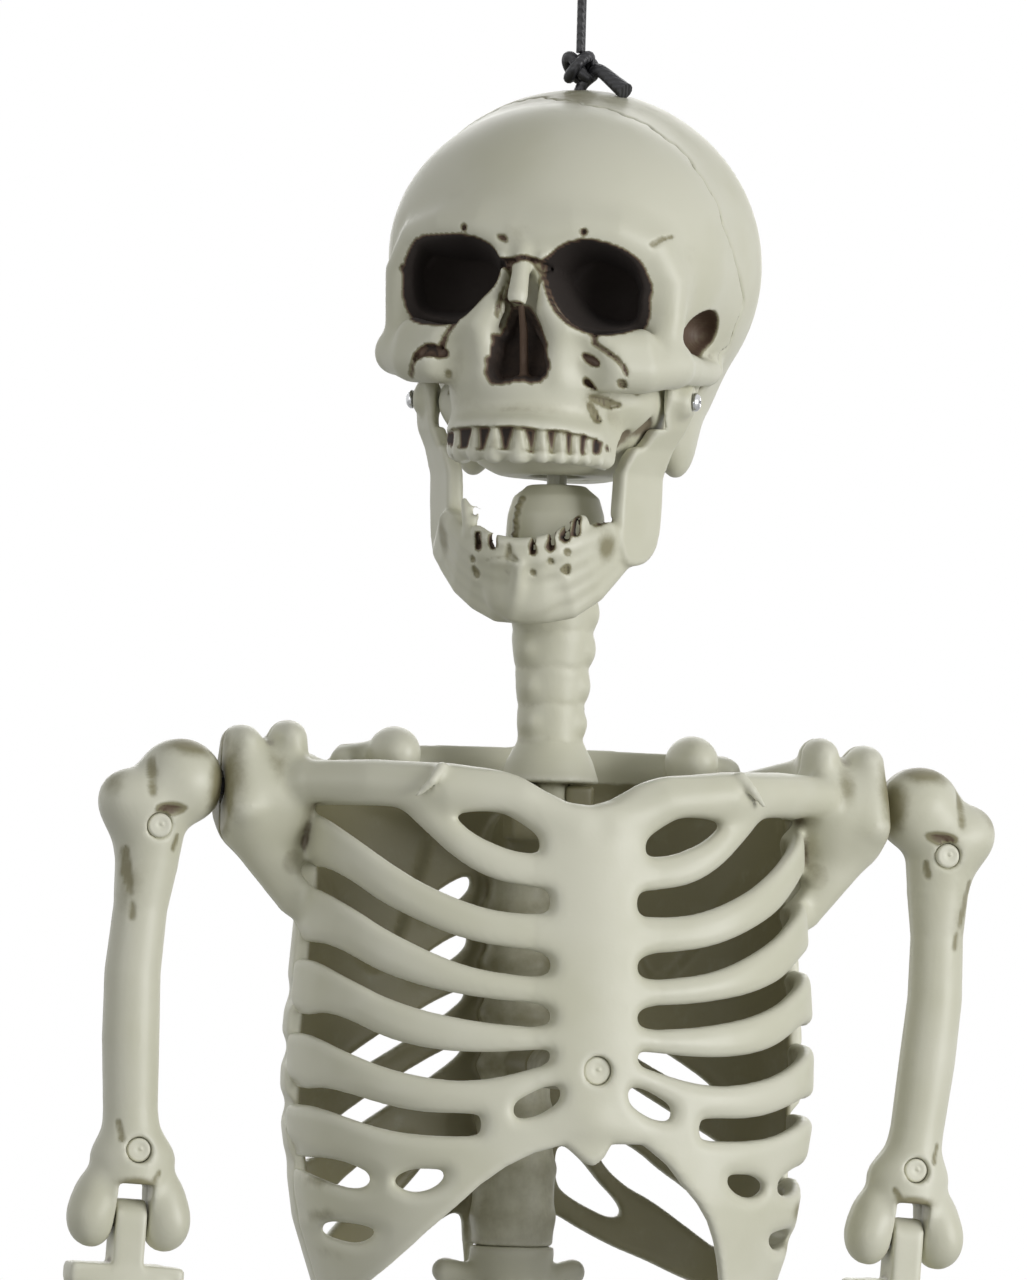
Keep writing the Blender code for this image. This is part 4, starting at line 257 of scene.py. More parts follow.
    def plate(self, origin, way, corners, half, rounding, soft, lean):
        """An upright plate: an outline (along, height) from an origin, that leans out with height."""
        reach = max(abs(along) for along, height in corners) + 16
        low = (origin[0] - reach, origin[1] - reach, min(height for along, height in corners))
        high = (origin[0] + reach, origin[1] + reach, max(height for along, height in corners))
        where, x, y, z = self.near(low, high, soft + 2)
        x, y = x - origin[0] - np.interp(z, *zip(*lean)), y - origin[1]
        edge = outline_gap(corners, x * way[0] + y * way[1], z) + rounding
        flat = np.abs(y * way[0] - x * way[1]) - half + rounding
        outside = np.sqrt(np.maximum(edge, 0) ** 2 + np.maximum(flat, 0) ** 2)
        self.press(where, outside + np.minimum(np.maximum(edge, flat), 0) - rounding, soft)

    def engrave(self, points, depth, stain, front=-70, back=-28, edge=0.45):
        """A line (x, z, half width) sunk straight back into whatever faces forward there."""
        points = [(float(a), float(b), float(c)) for a, b, c in points]
        points = points if len(points) > 1 else points * 2
        xs, zs, wide = zip(*points)
        margin = max(wide) + 2
        where, x, y, z = self.near((min(xs), front, min(zs)), (max(xs), back, max(zs)), margin)
        gap = 1e9
        for (ax, az, thick), (bx, bz, end) in zip(points, points[1:]):
            length = max((bx - ax) ** 2 + (bz - az) ** 2, 1e-9)
            share = np.clip(((x - ax) * (bx - ax) + (z - az) * (bz - az)) / length, 0, 1)
            away = np.hypot(x - ax - share * (bx - ax), z - az - share * (bz - az))
            gap = np.minimum(gap, away - thick - share * (end - thick))
        gap = np.maximum(gap, -self.gap[where] - depth) + 0 * y
        self.press(where, gap, 0.3, True, stain, edge)

    def score(self, where, field, depth, width, stain=0.0):
        """A fine groove where a field passes through nought on the surface."""
        line = np.exp(-(field / width) ** 2)
        self.gap[where] += depth * line
        self.stain[where] = np.maximum(self.stain[where], stain * line * (np.abs(self.gap[where]) < 3))

    def smear(self, centre, radii, stain):
        """Lays a soft-edged darker patch on the surface: wash in some places, painted shade in others."""
        reach = [2 * r for r in radii]
        where, *grid = self.near([c - r for c, r in zip(centre, reach)], [c + r for c, r in zip(centre, reach)], 0)
        away = sum(((g - c) / r) ** 2 for g, c, r in zip(grid, centre, radii))
        self.stain[where] = np.maximum(self.stain[where], stain * np.exp(-away))

    def read(self, x, y, z):
        """The distance at any points, blended from the eight grid points round each."""
        spot = [np.clip((v - a) / self.cell, 0, len(line) - 1.001)
                for v, a, line in zip((x, y, z), self.low, self.lines)]
        floor = [v.astype(int) for v in spot]
        part = [v - f for v, f in zip(spot, floor)]
        total = 0
        for i in (0, 1):
            for j in (0, 1):
                for k in (0, 1):
                    weight = np.abs(1 - i - part[0]) * np.abs(1 - j - part[1]) * np.abs(1 - k - part[2])
                    total = total + weight * self.gap[floor[0] + i, floor[1] + j, floor[2] + k]
        return total

    def leave_room(self, mover, hinge, swing, clearance):
        """Cuts away what another part would strike as it swings about an axis along x."""
        low = [line[0] for line in mover.lines]
        high = [line[-1] for line in mover.lines]
        where, x, y, z = self.near((low[0], hinge[1] - 60, hinge[2] - 60), (high[0], high[1], high[2]), 0)
        solid = self.gap[where]
        close = np.argwhere(solid < 2)
        px, py, pz = (line.ravel()[close[:, axis]] for axis, line in enumerate((x, y - hinge[1], z - hinge[2])))
        swept = np.full(solid.shape, 9, np.float32)
        nearest = np.full(len(close), 9.0)
        for degrees in swing:
            turn = math.radians(degrees)
            back_y = py * math.cos(turn) - pz * math.sin(turn) + hinge[1]
            back_z = pz * math.cos(turn) + py * math.sin(turn) + hinge[2]
            nearest = np.minimum(nearest, mover.read(px, back_y, back_z))
        swept[tuple(close.T)] = nearest
        self.press(where, swept - clearance, 0.6, cut=True)

    def blurred(self, reach):
        """How full the solid is round each point: a half on flats, more in hollows."""
        full = np.clip(0.5 - self.gap / self.cell, 0, 1)
        width = max(int(round(reach / self.cell)), 1)
        for axis in (0, 1, 2, 0, 1, 2):
            size = full.shape[axis]
            total = np.cumsum(np.insert(full, 0, 0, axis), axis, dtype=np.float64)
            high = np.minimum(np.arange(size) + width + 1, size)
            low = np.maximum(np.arange(size) - width, 0)
            full = (np.take(total, high, axis) - np.take(total, low, axis)) / (2 * width + 1)
        return full

    def settle(self):
        """Notes where the form is hollow or proud, before it is parted."""
        self.fullness = (("hollow", self.blurred(1.6)), ("broad", self.blurred(5)))

    def skin(self):
        """The surface as points and quads, with how hollow each point lies and its wash, paint and painted shade."""
        gap = self.gap
        inner = gap < 0
        corners = [(i, j, k) for i in (0, 1) for j in (0, 1) for k in (0, 1)]
        size = np.array(gap.shape) - 1

        def shifted(array, corner):
            return array[tuple(slice(c, c + n) for c, n in zip(corner, size))]

        count = sum(shifted(inner, c).astype(np.int8) for c in corners)
        cells = np.argwhere((count > 0) & (count < 8))
        number = np.full(size, -1, np.int64)
        number[tuple(cells.T)] = np.arange(len(cells))
        total = np.zeros((len(cells), 3))
        hits = np.zeros(len(cells))
        for axis in range(3):
            for corner in corners:
                if corner[axis]:
                    continue
                near = cells + corner
                far = near.copy()
                far[:, axis] += 1
                a, b = gap[tuple(near.T)], gap[tuple(far.T)]
                cross = (a < 0) != (b < 0)
                share = np.where(cross, a / np.where(cross, a - b, 1), 0)
                point = near.astype(float)
                point[:, axis] += share
                total += point * cross[:, None]
                hits += cross
        points = total / hits[:, None]
        quads = []
        for axis in range(3):
            others = [a for a in range(3) if a != axis]
            part = [slice(1, -1)] * 3
            part[axis] = slice(0, -1)
            after = list(part)
            after[axis] = slice(1, None)
            here, there = inner[tuple(part)], inner[tuple(after)]
            for face, flip in ((here & ~there, axis == 1), (there & ~here, axis != 1)):
                at = np.argwhere(face)
                at[:, others] += 1
                ring = []
                for back in ((0, 0), (1, 0), (1, 1), (0, 1)):
                    cell = at.copy()
                    cell[:, others[0]] -= back[0]
                    cell[:, others[1]] -= back[1]
                    ring.append(number[tuple(cell.T)])
                quads.append(np.stack(ring[::-1] if flip else ring, 1)[:, ::-1])
        quads = np.concatenate(quads)
        if self.fullness is None:
            self.settle()
        marks = {}
        floor = np.minimum(points.astype(int), size - 1)
        part = points - floor
        for name, field in self.fullness + (("stain", self.stain),):
            value = np.zeros(len(points))
            for corner in corners:
                weight = np.prod(np.where(np.array(corner), part, 1 - part), 1)
                value += weight * field[tuple((floor + corner).T)]
            marks[name] = value
        for _ in range(2):
            mean = np.zeros_like(points)
            links = np.zeros(len(points))
            for a, b in ((0, 1), (1, 2), (2, 3), (3, 0)):
                for end, other in ((a, b), (b, a)):
                    np.add.at(links, quads[:, end], 1)
                    for axis in range(3):
                        mean[:, axis] += np.bincount(quads[:, end], points[quads[:, other], axis], len(points))
            points = points + 0.35 * (mean / np.maximum(links, 1)[:, None] - points)
        return self.low + points * self.cell, quads, marks


def moulding(name, solid, place, body, nodes, material, mirrored=False):
    """Takes a piece out of its mould: a mesh set in its place and hung on a body."""
    points, quads, marks = solid.skin()
    if mirrored:
        points = points * (-1, 1, 1)
        quads = quads[:, ::-1]
    turn = np.array(place)
    points = points * MM @ turn[:3, :3].T + turn[:3, 3]
    mesh = bpy.data.meshes.new(name)
    mesh.vertices.add(len(points))
    mesh.vertices.foreach_set("co", points.astype(np.float32).ravel())
    mesh.loops.add(quads.size)
    mesh.loops.foreach_set("vertex_index", quads.astype(np.int32).ravel())
    mesh.polygons.add(len(quads))
    mesh.polygons.foreach_set("loop_start", np.arange(0, quads.size, 4, dtype=np.int32))
    mesh.polygons.foreach_set("use_smooth", np.ones(len(quads), bool))
    mesh.update(calc_edges=True)
    for mark, value in marks.items():
        mesh.attributes.new(mark, "FLOAT", "POINT").data.foreach_set("value", value.astype(np.float32))
    mesh.materials.append(material)
    piece = bpy.data.objects.new(name, mesh)
    bpy.context.scene.collection.objects.link(piece)
    return link(piece, body, nodes)


def washed_plastic_with_painted_shade(name, ivory, shade):
    """Satin blow-moulded polyethylene, washed with brown: ivory flats, hollows darkened by wash and painted shade,
    convex edges lightened by a painted highlight.
    """
    material = bpy.data.materials.new(name)
    tree, skin, place = surface_of(material)
    hollow, broad, stain = (node(tree, "Attribute", attribute_name=mark).outputs["Fac"]
                            for mark in ("hollow", "broad", "stain"))
    cloud = node(tree, "TexNoise", {"Vector": place, "Scale": 1 / (38 * MM), "Detail": 3.0}).outputs["Fac"]
    smear = node(tree, "TexNoise", {"Vector": place, "Scale": 1 / (7 * MM), "Detail": 4.0,
                                    "Roughness": 0.62}).outputs["Fac"]
    grain = node(tree, "TexNoise", {"Vector": place, "Scale": 1 / (1.4 * MM), "Detail": 2.0}).outputs["Fac"]

    def rise(value, low, high, top=1.0):
        return node(tree, "MapRange", {"Value": value, "From Min": low, "From Max": high, "To Max": top},
                    interpolation_type="SMOOTHSTEP").outputs[0]

    def over(factor, under, code):
        return node(tree, "Mix", {0: factor, 6: under, 7: linear(code)}, data_type="RGBA").outputs[2]

    def total(a, b, share):
        return node(tree, "Math", {0: a, 1: share, 2: b}, operation="MULTIPLY_ADD").outputs[0]

    colour = over(rise(cloud, 0.35, 0.68, 0.55), linear(ivory), shade)
    # Convex edges turn paler than the ivory: a painted highlight.
    colour = over(rise(hollow, 0.46, 0.30, 0.5), colour, "#E7E6D6")
    # Broad hollows turn olive: painted shade.
    colour = over(rise(total(smear, broad, 0.14), 0.575, 0.74, 0.7), colour, "#989377")
    # Tight hollows turn brown: wash together with painted shade.
    colour = over(rise(total(smear, hollow, 0.3), 0.73, 0.9, 0.8), colour, "#6A5A46")
    wash_paint_and_shade_level = total(smear, stain, 0.24)
    # Marked places: the olive tier is painted shade; the brown and near-black tiers are wash and paint.
    colour = over(rise(wash_paint_and_shade_level, 0.16, 0.46), colour, "#8F8A6C")
    colour = over(rise(wash_paint_and_shade_level, 0.5, 0.74), colour, "#5D4A3B")
    colour = over(rise(wash_paint_and_shade_level, 0.8, 1.04), colour, "#231B16")
    tree.links.new(colour, skin.inputs["Base Color"])
    rough = node(tree, "MapRange", {"Value": smear, "To Min": 0.36, "To Max": 0.52}).outputs[0]
    tree.links.new(total(rise(wash_paint_and_shade_level, 0.5, 1.0), rough, 0.42), skin.inputs["Roughness"])
    bump = node(tree, "Bump", {"Height": grain, "Strength": 0.12, "Distance": 0.2 * MM}).outputs[0]
    tree.links.new(bump, skin.inputs["Normal"])
    skin.inputs["IOR"].default_value = 1.51
    return material


bone = washed_plastic_with_painted_shade("blow_moulded_ivory_polyethylene", "#DAD9C6", "#CAC9B0")
TORSO = Matrix.Translation((-8.924 * MM, -17.899 * MM, -56 * MM))
HEAD = TORSO @ Matrix.Translation((0, 0, -120 * MM)) @ Matrix.Rotation(math.radians(-26.5), 4, "Z")
SIDES = (("left", 1), ("right", -1))


def face(x, y, z, *thick):
    """A place on the face, which sits a little askew on the cranium."""
    return (x - 1.7, y, z - 0.042 * x) + thick


def outline_gap(corners, x, z):
    """Distance to a closed outline on a grid, below zero inside it."""
    near = 1e9
    inside = False
    for (ax, az), (bx, bz) in zip(corners, corners[1:] + corners[:1]):
        wide, tall = bx - ax, bz - az
        share = np.clip(((x - ax) * wide + (z - az) * tall) / max(wide * wide + tall * tall, 1e-9), 0, 1)
        near = np.minimum(near, (x - ax - share * wide) ** 2 + (z - az - share * tall) ** 2)
        if tall:
            inside = inside ^ (((az > z) != (bz > z)) & (x < wide * (z - az) / tall + ax))
    return np.where(inside, -1, 1) * np.sqrt(near)


def rounded(corners, rounds=2):
    """Cuts the corners of an outline until it is smooth."""
    for _ in range(rounds):
        smooth = []
        for (ax, az), (bx, bz) in zip(corners, corners[1:] + corners[:1]):
            smooth += [(ax * 0.75 + bx * 0.25, az * 0.75 + bz * 0.25),
                       (ax * 0.25 + bx * 0.75, az * 0.25 + bz * 0.75)]
        corners = smooth
    return corners


def arch_place(across, half=22.0, back=-25.6, reach=30.5):
    """A point on the row of teeth, by how far it lies from the middle."""
    return across, back - reach * math.sqrt(max(1 - (across / half) ** 2, 0))


RIGHT_SOCKET = [(-35.4, 68), (-30.5, 68.5), (-23.7, 68.3), (-18.7, 68.1), (-14.7, 66.8), (-11.5, 65), (-9.3, 62.3),
                (-7.7, 59.3), (-8.2, 56.7), (-8.7, 54.3), (-10.2, 51.6), (-13, 49), (-15.8, 46.1), (-19, 43.5),
                (-22.5, 41.5), (-28, 41.4), (-33.5, 42.1), (-37.1, 43.9), (-39.5, 47), (-40.7, 51.6), (-40.9, 56.9),
                (-40, 61.7), (-37.8, 65.7)]
LEFT_SOCKET = [(9.7, 65.1), (14, 66.7), (19, 66.9), (24.5, 65.7), (29.4, 63.4), (32.5, 60.5), (33.7, 56.9), (34.8, 54.5),
               (34.1, 51), (34.2, 46.6), (32.6, 42), (29.2, 39.8), (24.5, 38.9), (19.6, 39.1), (15.4, 40.4), (11.3, 43),
               (8.3, 46.9), (6.4, 51.3), (5, 56.2), (3.9, 58.7), (5.8, 61.6)]
NOSE = [(-5.8, 47), (-1.3, 47.7), (1, 45.8), (2.1, 43.3), (3.6, 40.9), (5.7, 37.5), (6.8, 35.3), (6.8, 32.6), (8, 29.4),
        (7, 26.2), (4.5, 24.2), (1.5, 24.3), (-0.7, 24.9), (-3, 24.6), (-6, 23.7), (-9.4, 23.6), (-11, 26.3), (-11.4, 30),
        (-9.7, 33.7), (-9.8, 38.4), (-7.9, 38.8), (-6.9, 41.8)]
# upper teeth: place across, half width at the rim and at the gum
UPPER_TEETH = ((-19.9, 2.4, 1.6), (-14, 2.7, 0.5), (-7.6, 3.2, 0.6), (-0.1, 3.4, 0.9), (6.4, 2.4, 1), (11.2, 2.2, 1.15),
               (15.1, 1.5, 0.95), (18, 1.4, 0.95), (20.8, 1.3, 0.95))
arch = [arch_place(22 * math.sin(math.radians(a))) for a in range(-90, 91, 10)]


def skull_forms(solid):
    """Cranium and face, with their hollows, holes and fine cracks."""
    solid.ball((0, 26.3, 66.6), (55.6, 58.9, 53.4))
    solid.ball((0, -4.3, 66), (51.7, 47.6, 46.2), 5)
    solid.ball((0, 29.8, 31.2), (40.7, 41.2, 31.2), 8)
    solid.ball((0, 1.4, 16.8), (31.9, 31.2, 19.8), 6)
    solid.ball(face(0, -34.8, 24.6), (24.4, 21.3, 21.6), 6)
    for side in (1, -1):
        solid.ball((side * 31.4, 26, 16), (6.4, 9.2, 14), 5)
        solid.ball((side * 14, -12, 21.4), (20, 20, 13), 5)
        solid.rod([(side * 10, -9, 22.5, 5), (side * 29.6, -9, 22.5, 4.8)], 3)
        solid.rod([face(side * 5, -47.6, 68.8, 3), face(side * 14, -47.6, 71, 2.2), face(side * 26, -44.4, 71, 2.1),
                   face(side * 36.5, -36.6, 66.5, 2.8), face(side * 41, -32.6, 57, 4), face(side * 40.8, -32.4, 47, 4.4),
                   face(side * 39.4, -33.6, 38, 5.4)], 9)
        solid.rod([face(side * 14, -49, 32, 6), face(side * 24, -47.5, 30.5, 7.2), face(side * 34, -41, 31, 7.4),
                   face(side * 42, -31, 33, 6.2)], 4)
        solid.rod([face(side * 8, -53, 46, 2.8), face(side * 14, -52, 40.5, 3.8), face(side * 24, -49.6, 37, 4.4),
                   face(side * 34, -42.8, 38, 4.8)], 4)
        solid.rod([face(side * 6.2, -52, 60, 2.2), face(side * 8.6, -53.6, 50, 3), face(side * 12, -52.6, 40, 4.2),
                   face(side * 14.5, -50.6, 28, 6)], 4)
    solid.rod([face(0, -50.5, 64, 3.2), face(0, -54.4, 57, 2.6), face(0, -58, 49.5, 3), face(0, -58.6, 47.6, 2.6)], 2)
    solid.rod([face(x, y, 9.4, 5.4) for x, y in arch], 5)
    solid.rod([face(x, y - 0.4, 5.4, 4.2) for x, y in arch], 1.5)
    for side in (1, -1):
        solid.ball(face(side * 20.5, -64.6, 28), (9, 14, 12), 6, cut=True)
        solid.ball(face(side * 36.5, -38, 10.6), (12.4, 20, 11), 3, cut=True)
        solid.ball((side * 43.5 - 0.5, -7, 43.6), (7.8, 13, 7.8), 1.2, cut=True, stain=0.7)
        solid.rod([face(side * 41.5, -30, 33, 6), face(side * 43.5, -18, 33.4, 5), face(side * 44, -6, 33.6, 4.5),
                   face(side * 44.5, 8, 34.8, 4.2), face(side * 44, 17, 36, 4.6)], 2.5, stain=-1, edge=0.4)
    for socket, deep_x, deep_z in ((RIGHT_SOCKET, -24, 53), (LEFT_SOCKET, 22, 50)):
        xs, zs = zip(*socket)
        where, x, y, z = solid.near((min(xs), -68, min(zs)), (max(xs), -18, max(zs)), 3)
        outline = outline_gap(rounded(socket, 1), x, z)
        dish = 9 * np.maximum(1 - ((x - deep_x) ** 2 + (z - deep_z) ** 2) / 170, 0)
        inside = np.maximum(outline + 0.24 * np.maximum(y + 50, 0), y + 31 - dish)
        solid.press(where, inside, 0.9, True, 1, 0.4, outline + 0 * y)
    where, x, y, z = solid.near((-13, -66, 20), (10, -40, 50), 2)
    ragged = outline_gap(rounded(NOSE, 1), x, z) + 0.25 * np.sin(x * 2.1 + z * 1.3)
    inside = np.maximum(ragged + 0.2 * np.maximum(y + 58, 0), y + 45)
    solid.press(where, inside, 0.7, True, 0.86, 0.4, ragged + 0 * y)
    solid.rod([face(0.6, -47.4, 23, 1.5), face(0.6, -50.5, 40, 1.3), face(0.4, -54, 47, 1)], 1.2, stain=-0.25)
    where, x, y, z = solid.near((-27, -66, 3), (24, -22, 11), 1)
    front = -25.6 - 35.4 * np.sqrt(np.maximum(1 - ((x + 1.7) / 27) ** 2, 0))
    band = np.abs(z + 0.042 * x - 7.2) - 3.3 * np.sqrt(np.maximum(1 - ((x + 1.7) / 24.5) ** 4, 0.02))
    solid.press(where, np.maximum(band, y - front - 2.6), 0.5, True, 0.9, 0.3, np.maximum(band, y - front - 5))
    for across, wide, point in UPPER_TEETH:
        low_x, low_y = arch_place(across + 1.7, 26.6 - wide, -25.6, 35.2 - wide)
        gum_x, gum_y = arch_place(across + 1.7, 25.6 - point, -25.6, 34.4 - point)
        solid.rod([face(low_x, low_y, 2.9, wide), face(gum_x, gum_y, 10.8, point + 0.2)], 0.5, stain=-1, edge=1)
    cracks = (
        (((-9.2, 59.4, 1.4), (-5, 60.1, 0.9), (-0.8, 61.2, 0.4), (1.9, 60.6, 0.5), (4.4, 58.8, 1.2)), 1.2, 0.95),
        (((-5.9, 59.7, 0.6), (-4.9, 55.8, 0.4), (-7.1, 49.9, 0.4), (-8.4, 44, 0.35)), 0.5, 0.66),
        (((2.6, 59.5, 0.7), (4.6, 56, 0.35), (3.4, 51.6, 0.25)), 0.4, 0.5),
        (((-33.3, 32, 0.9), (-31, 33.4, 1.4), (-28.8, 34, 1.6), (-26.2, 33.2, 1.5), (-24.4, 33, 0.8)), 1.8, 0.9),
        (((-25.5, 34.6, 0.6), (-24, 38.1, 0.4), (-22.3, 40.5, 0.35), (-20.8, 42.2, 0.4)), 0.7, 0.78),
        (((-33.6, 31.6, 0.7), (-34.7, 29.4, 0.45), (-35.4, 26.9, 0.6)), 0.7, 0.7),
        (((-33.4, 23.6, 0.3), (-29.7, 23.3, 0.4), (-25.8, 23.6, 0.3)), 0.7, 0.6),
        (((19.4, 39.2, 0.4), (20.9, 38.1, 0.6), (20.4, 36.3, 0.4), (22.8, 34.8, 0.45), (27.1, 31.9, 0.4),
          (29.4, 29.3, 0.4), (29.9, 27.3, 0.35)), 0.8, 0.66),
        (((17.4, 32.6, 0.5), (19.2, 31.5, 1.2), (21, 30.4, 0.9)), 1.5, 0.84),
        (((17.8, 25.2, 0.9), (20, 23.4, 0.3)), 1.3, 0.8),
        (((28.6, 24.6, 1.1),), 1.1, 0.66),
        (((19, 20.6, 0.6), (21.6, 19.9, 1.2), (24, 20, 0.5)), 0.8, 0.56),
        (((18.3, 18.3, 0.5), (19.2, 16, 0.7), (20, 14, 0.4)), 0.6, 0.56),
        (((-20, 70.4, 0.75),), 1.4, 0.95), (((16.2, 69.2, 0.9),), 1.4, 0.95),
        (((-9, 67.6, 0.3), (-7.7, 67.2, 0.7), (-6.6, 66.4, 0.3)), 0.9, 0.8), (((-41, 59.3, 0.8),), 0.9, 0.8),
        (((-23.6, 27, 0.7),), 0.7, 0.56), (((-6.4, 48.8, 0.3), (-5.6, 47.4, 0.5)), 0.6, 0.7),
    )
    for line, depth, stain in cracks:
        solid.engrave(line, depth, stain)
    solid.engrave(((35.3, 66.4, 0.7), (37.6, 68.4, 0.5), (40, 69.5, 0.3)), 0.6, 0.4, back=-8)
    solid.block((0, 0, -20), (80, 100, 20.2), 0.1, 0.8, cut=True)
    solid.drum((0, 0, -1), 2, ((0, 8), (14, 8)), 0.5, cut=True)
    # Soft darker patches: painted shade on the top of the crown; darker patches at the left temple, under both
    # cheekbones, at the left of the base and above the nose.
    for centre, radii, stain in (((-4, 0, 116), (32, 24, 9), 0.24), ((39, -24, 62), (6, 8, 8), 0.24),
                                 ((20, -44, 22), (6, 6, 6), 0.2), ((-26, -46, 26), (6, 6, 5), 0.22),
                                 ((34, -4, 14), (6, 8, 8), 0.3), ((-3, -52, 68), (5, 5, 4), 0.16)):
        solid.smear(centre, radii, stain)
    where, x, y, z = solid.near((-2, -14, 74), (60, 6, 123), 0)
    solid.score(where, suture(x, y, z), 0.5, 0.6, 0.3)
    solid.settle()


def suture(x, y, z):
    """The zigzag of the crown's cross seam, as a distance behind it."""
    crown = np.interp(x, (-14, 8), (8, -9))
    line = crown + (15 - crown) * np.clip((76 - z) / 20, 0, 1)
    return y - line - 1.3 * np.sin(x * 0.55) - 0.8 * np.sin(x * 1.45 + 1)


skull_front = Mould((-60, -68, -3), (60, 20, 123), 0.75)
skull_forms(skull_front)
where, x, y, z = skull_front.near((-60, -13, -3), (60, 20, 123), 0)
skull_front.press(where, -suture(x, y, z) + 0.05, 0.1, True)
skull_back = Mould((-60, -14, -3), (60, 89, 123), 1.1)
skull_forms(skull_back)
where, x, y, z = skull_back.near((-60, -14, -3), (60, 20, 123), 0)
skull_back.press(where, suture(x, y, z) + 0.05, 0.1, True)
where, x, y, z = skull_back.near((-14, 4, 100), (14, 89, 123), 0)
skull_back.score(where, x - 1.1 * np.sin(y * 0.6) - 0.7 * np.sin(y * 1.7) + 0 * z, 0.45, 0.75, 0.3)
moulding("skull_crown", skull_back, HEAD, "head", ["skull"], bone)


# The jaw: a solid moulding of the same plastic, drawn as it hangs open on two screws. Its
# branches are flat plates; a spike of broken flash stands on the teeth of its right side.
jaw = Mould((-50, -50, -50), (50, 12, 34), 0.75)
LOWER_RAIL = ((23, -9, -23), (20, -15, -28.5), (16, -21, -35), (10, -26, -40), (3, -28.5, -41.6), (-4, -29.5, -41.8),
              (-11, -28, -41.4), (-18, -23.5, -38), (-24, -18, -33.5), (-29.5, -11, -27), (-32, -8, -23))
UPPER_RAIL = ((19, -21, -17.5), (15.5, -27, -19.6), (12, -32, -21.6), (7.5, -36.4, -24.2), (2.5, -38.6, -26),
              (-3, -39.4, -26.8), (-9, -38.2, -26.4), (-14.6, -35, -24.6), (-20, -30, -21), (-25, -24, -16.4),
              (-28, -19.5, -14.6))
RAMUS = [(2.6, 25), (5.6, 28.5), (14.4, 28.5), (17.6, 25), (18, 18), (18, 10), (18.5, 0), (18.6, -10), (18, -17),
         (16.5, -22), (13, -25.5), (9, -27), (2, -27), (-1, -20), (-1.5, -12), (-1, -4), (-0.8, 3), (0, 7), (1.5, 8.6),
         (3, 8.2), (4.2, 9), (4.2, 13), (3, 20)]
for share in (0, 0.25, 0.5, 0.75, 1):
    rail = np.array(LOWER_RAIL) + (np.array(UPPER_RAIL) - np.array(LOWER_RAIL)) * share
    jaw.rod([(*point, 3.7) for point in rail], 1.5)
for side, outs in ((1, (-2, -1.5, 1.5, 5.5, 9.5)), (-1, (3, 3.5, 5.5, 8, 9.5))):
    lean = [(level, side * out) for level, out in zip((-25, 0, 8, 14, 22.5), outs)]
    jaw.plate((side * 24, -18), (side * 0.489, 0.872), rounded(RAMUS, 1), 2.6, 1.6, 1.2, lean)
    jaw.rod([(side * 37.4, -9, 22.5, 5), (side * 38.6, -9, 22.5, 5)], 2)
jaw.ball((-3.4, -33, -37.4), (9.5, 5, 6.5), 4)
jaw.rod([(-2.2, -42.4, -28.6, 0.9), (-3.2, -39.6, -34.4, 1.2), (-4.2, -37, -38.8, 1.2), (-6, -33.6, -43, 1)], 3)
jaw.rod([(-16.4, -36.4, -18.8, 2.1), (-12.6, -39.1, -20.9, 2.1), (-8.6, -40.4, -22, 2.1), (-4, -41, -22.7, 2.1),
         (1.2, -40.8, -22.4, 2.1), (5, -39.2, -21.4, 2.1), (8.6, -36.2, -19.7, 2.1), (11.2, -33.2, -17.4, 2.2),
         (13.4, -29.4, -15, 2.3)], 2)
for spike in (((-19, -33.2, -19, 2.4), (-20.6, -31.8, -13, 1.8), (-21.9, -30.4, -9.2, 1.1)),
              ((-18.2, -33, -15, 1.2), (-16.8, -33.8, -13.4, 0.6)), ((-19.8, -31.4, -10.8, 0.5), (-15.6, -32.4, -11.7, 0.3))):
    jaw.rod(spike, 1)
jaw.smear((-29.6, -20.6, -19), (3, 5, 6), 0.4)
jaw.smear((19.6, -23.4, -21.6), (3.4, 5, 4.4), 0.42)
for line, depth, stain in (
        (((-15.7, -19.6, 0.75), (-15.6, -23.5, 0.8)), 1.8, 0.92), (((-10.7, -20.4, 0.9), (-10.6, -22.9, 1)), 1.8, 0.92),
        (((1.7, -20.9, 0.3), (1.6, -24.9, 0.8)), 1.8, 0.9), (((6.7, -18.8, 0.5), (6.6, -23.4, 1)), 1.8, 0.9),
        (((10.4, -16, 0.6), (10.3, -20.3, 1.1)), 1.8, 0.9), (((12.9, -14, 0.6), (12.8, -18.7, 0.9)), 1.8, 0.9),
        (((-5.6, -22.8, 0.5), (-5.4, -26, 1), (-3.4, -27, 0.6)), 0.7, 0.34),
        (((-13.4, -27.4, 0.3), (-8.8, -26.5, 0.3), (-2.3, -27.6, 0.3)), 0.4, 0.2),
        (((1.4, -30.8, 0.8),), 0.9, 0.5), (((6.6, -27.4, 0.8),), 0.8, 0.42), (((11.1, -24.5, 0.8),), 0.8, 0.5),
        (((10.3, -29.7, 1), (10.9, -28.6, 0.6)), 0.9, 0.56), (((-17.8, -26.9, 0.9),), 0.8, 0.42),
        (((-17.6, -29.6, 0.7), (-16.8, -31, 1.1)), 0.9, 0.46), (((17.6, -15.4, 0.6), (20, -13.6, 0.7)), 0.9, 0.7)):
    jaw.engrave(line, depth, stain, back=-20)
for side in (1, -1):
    jaw.block((side * 29.9, -9, 24), (5, 14, 10), 0.3, 0.6, cut=True)
    jaw.block((side * 47.7, -9, 22.5), (5, 14, 9), 0.3, 0.6, cut=True)
moulding("jaw_moulding", jaw, HEAD, "jaw", ["jaw"], bone)
skull_front.leave_room(jaw, (0, -9, 22.5), np.arange(0, 26, 2.5), 0.5)
moulding("skull_face", skull_front, HEAD, "head", ["skull"], bone)


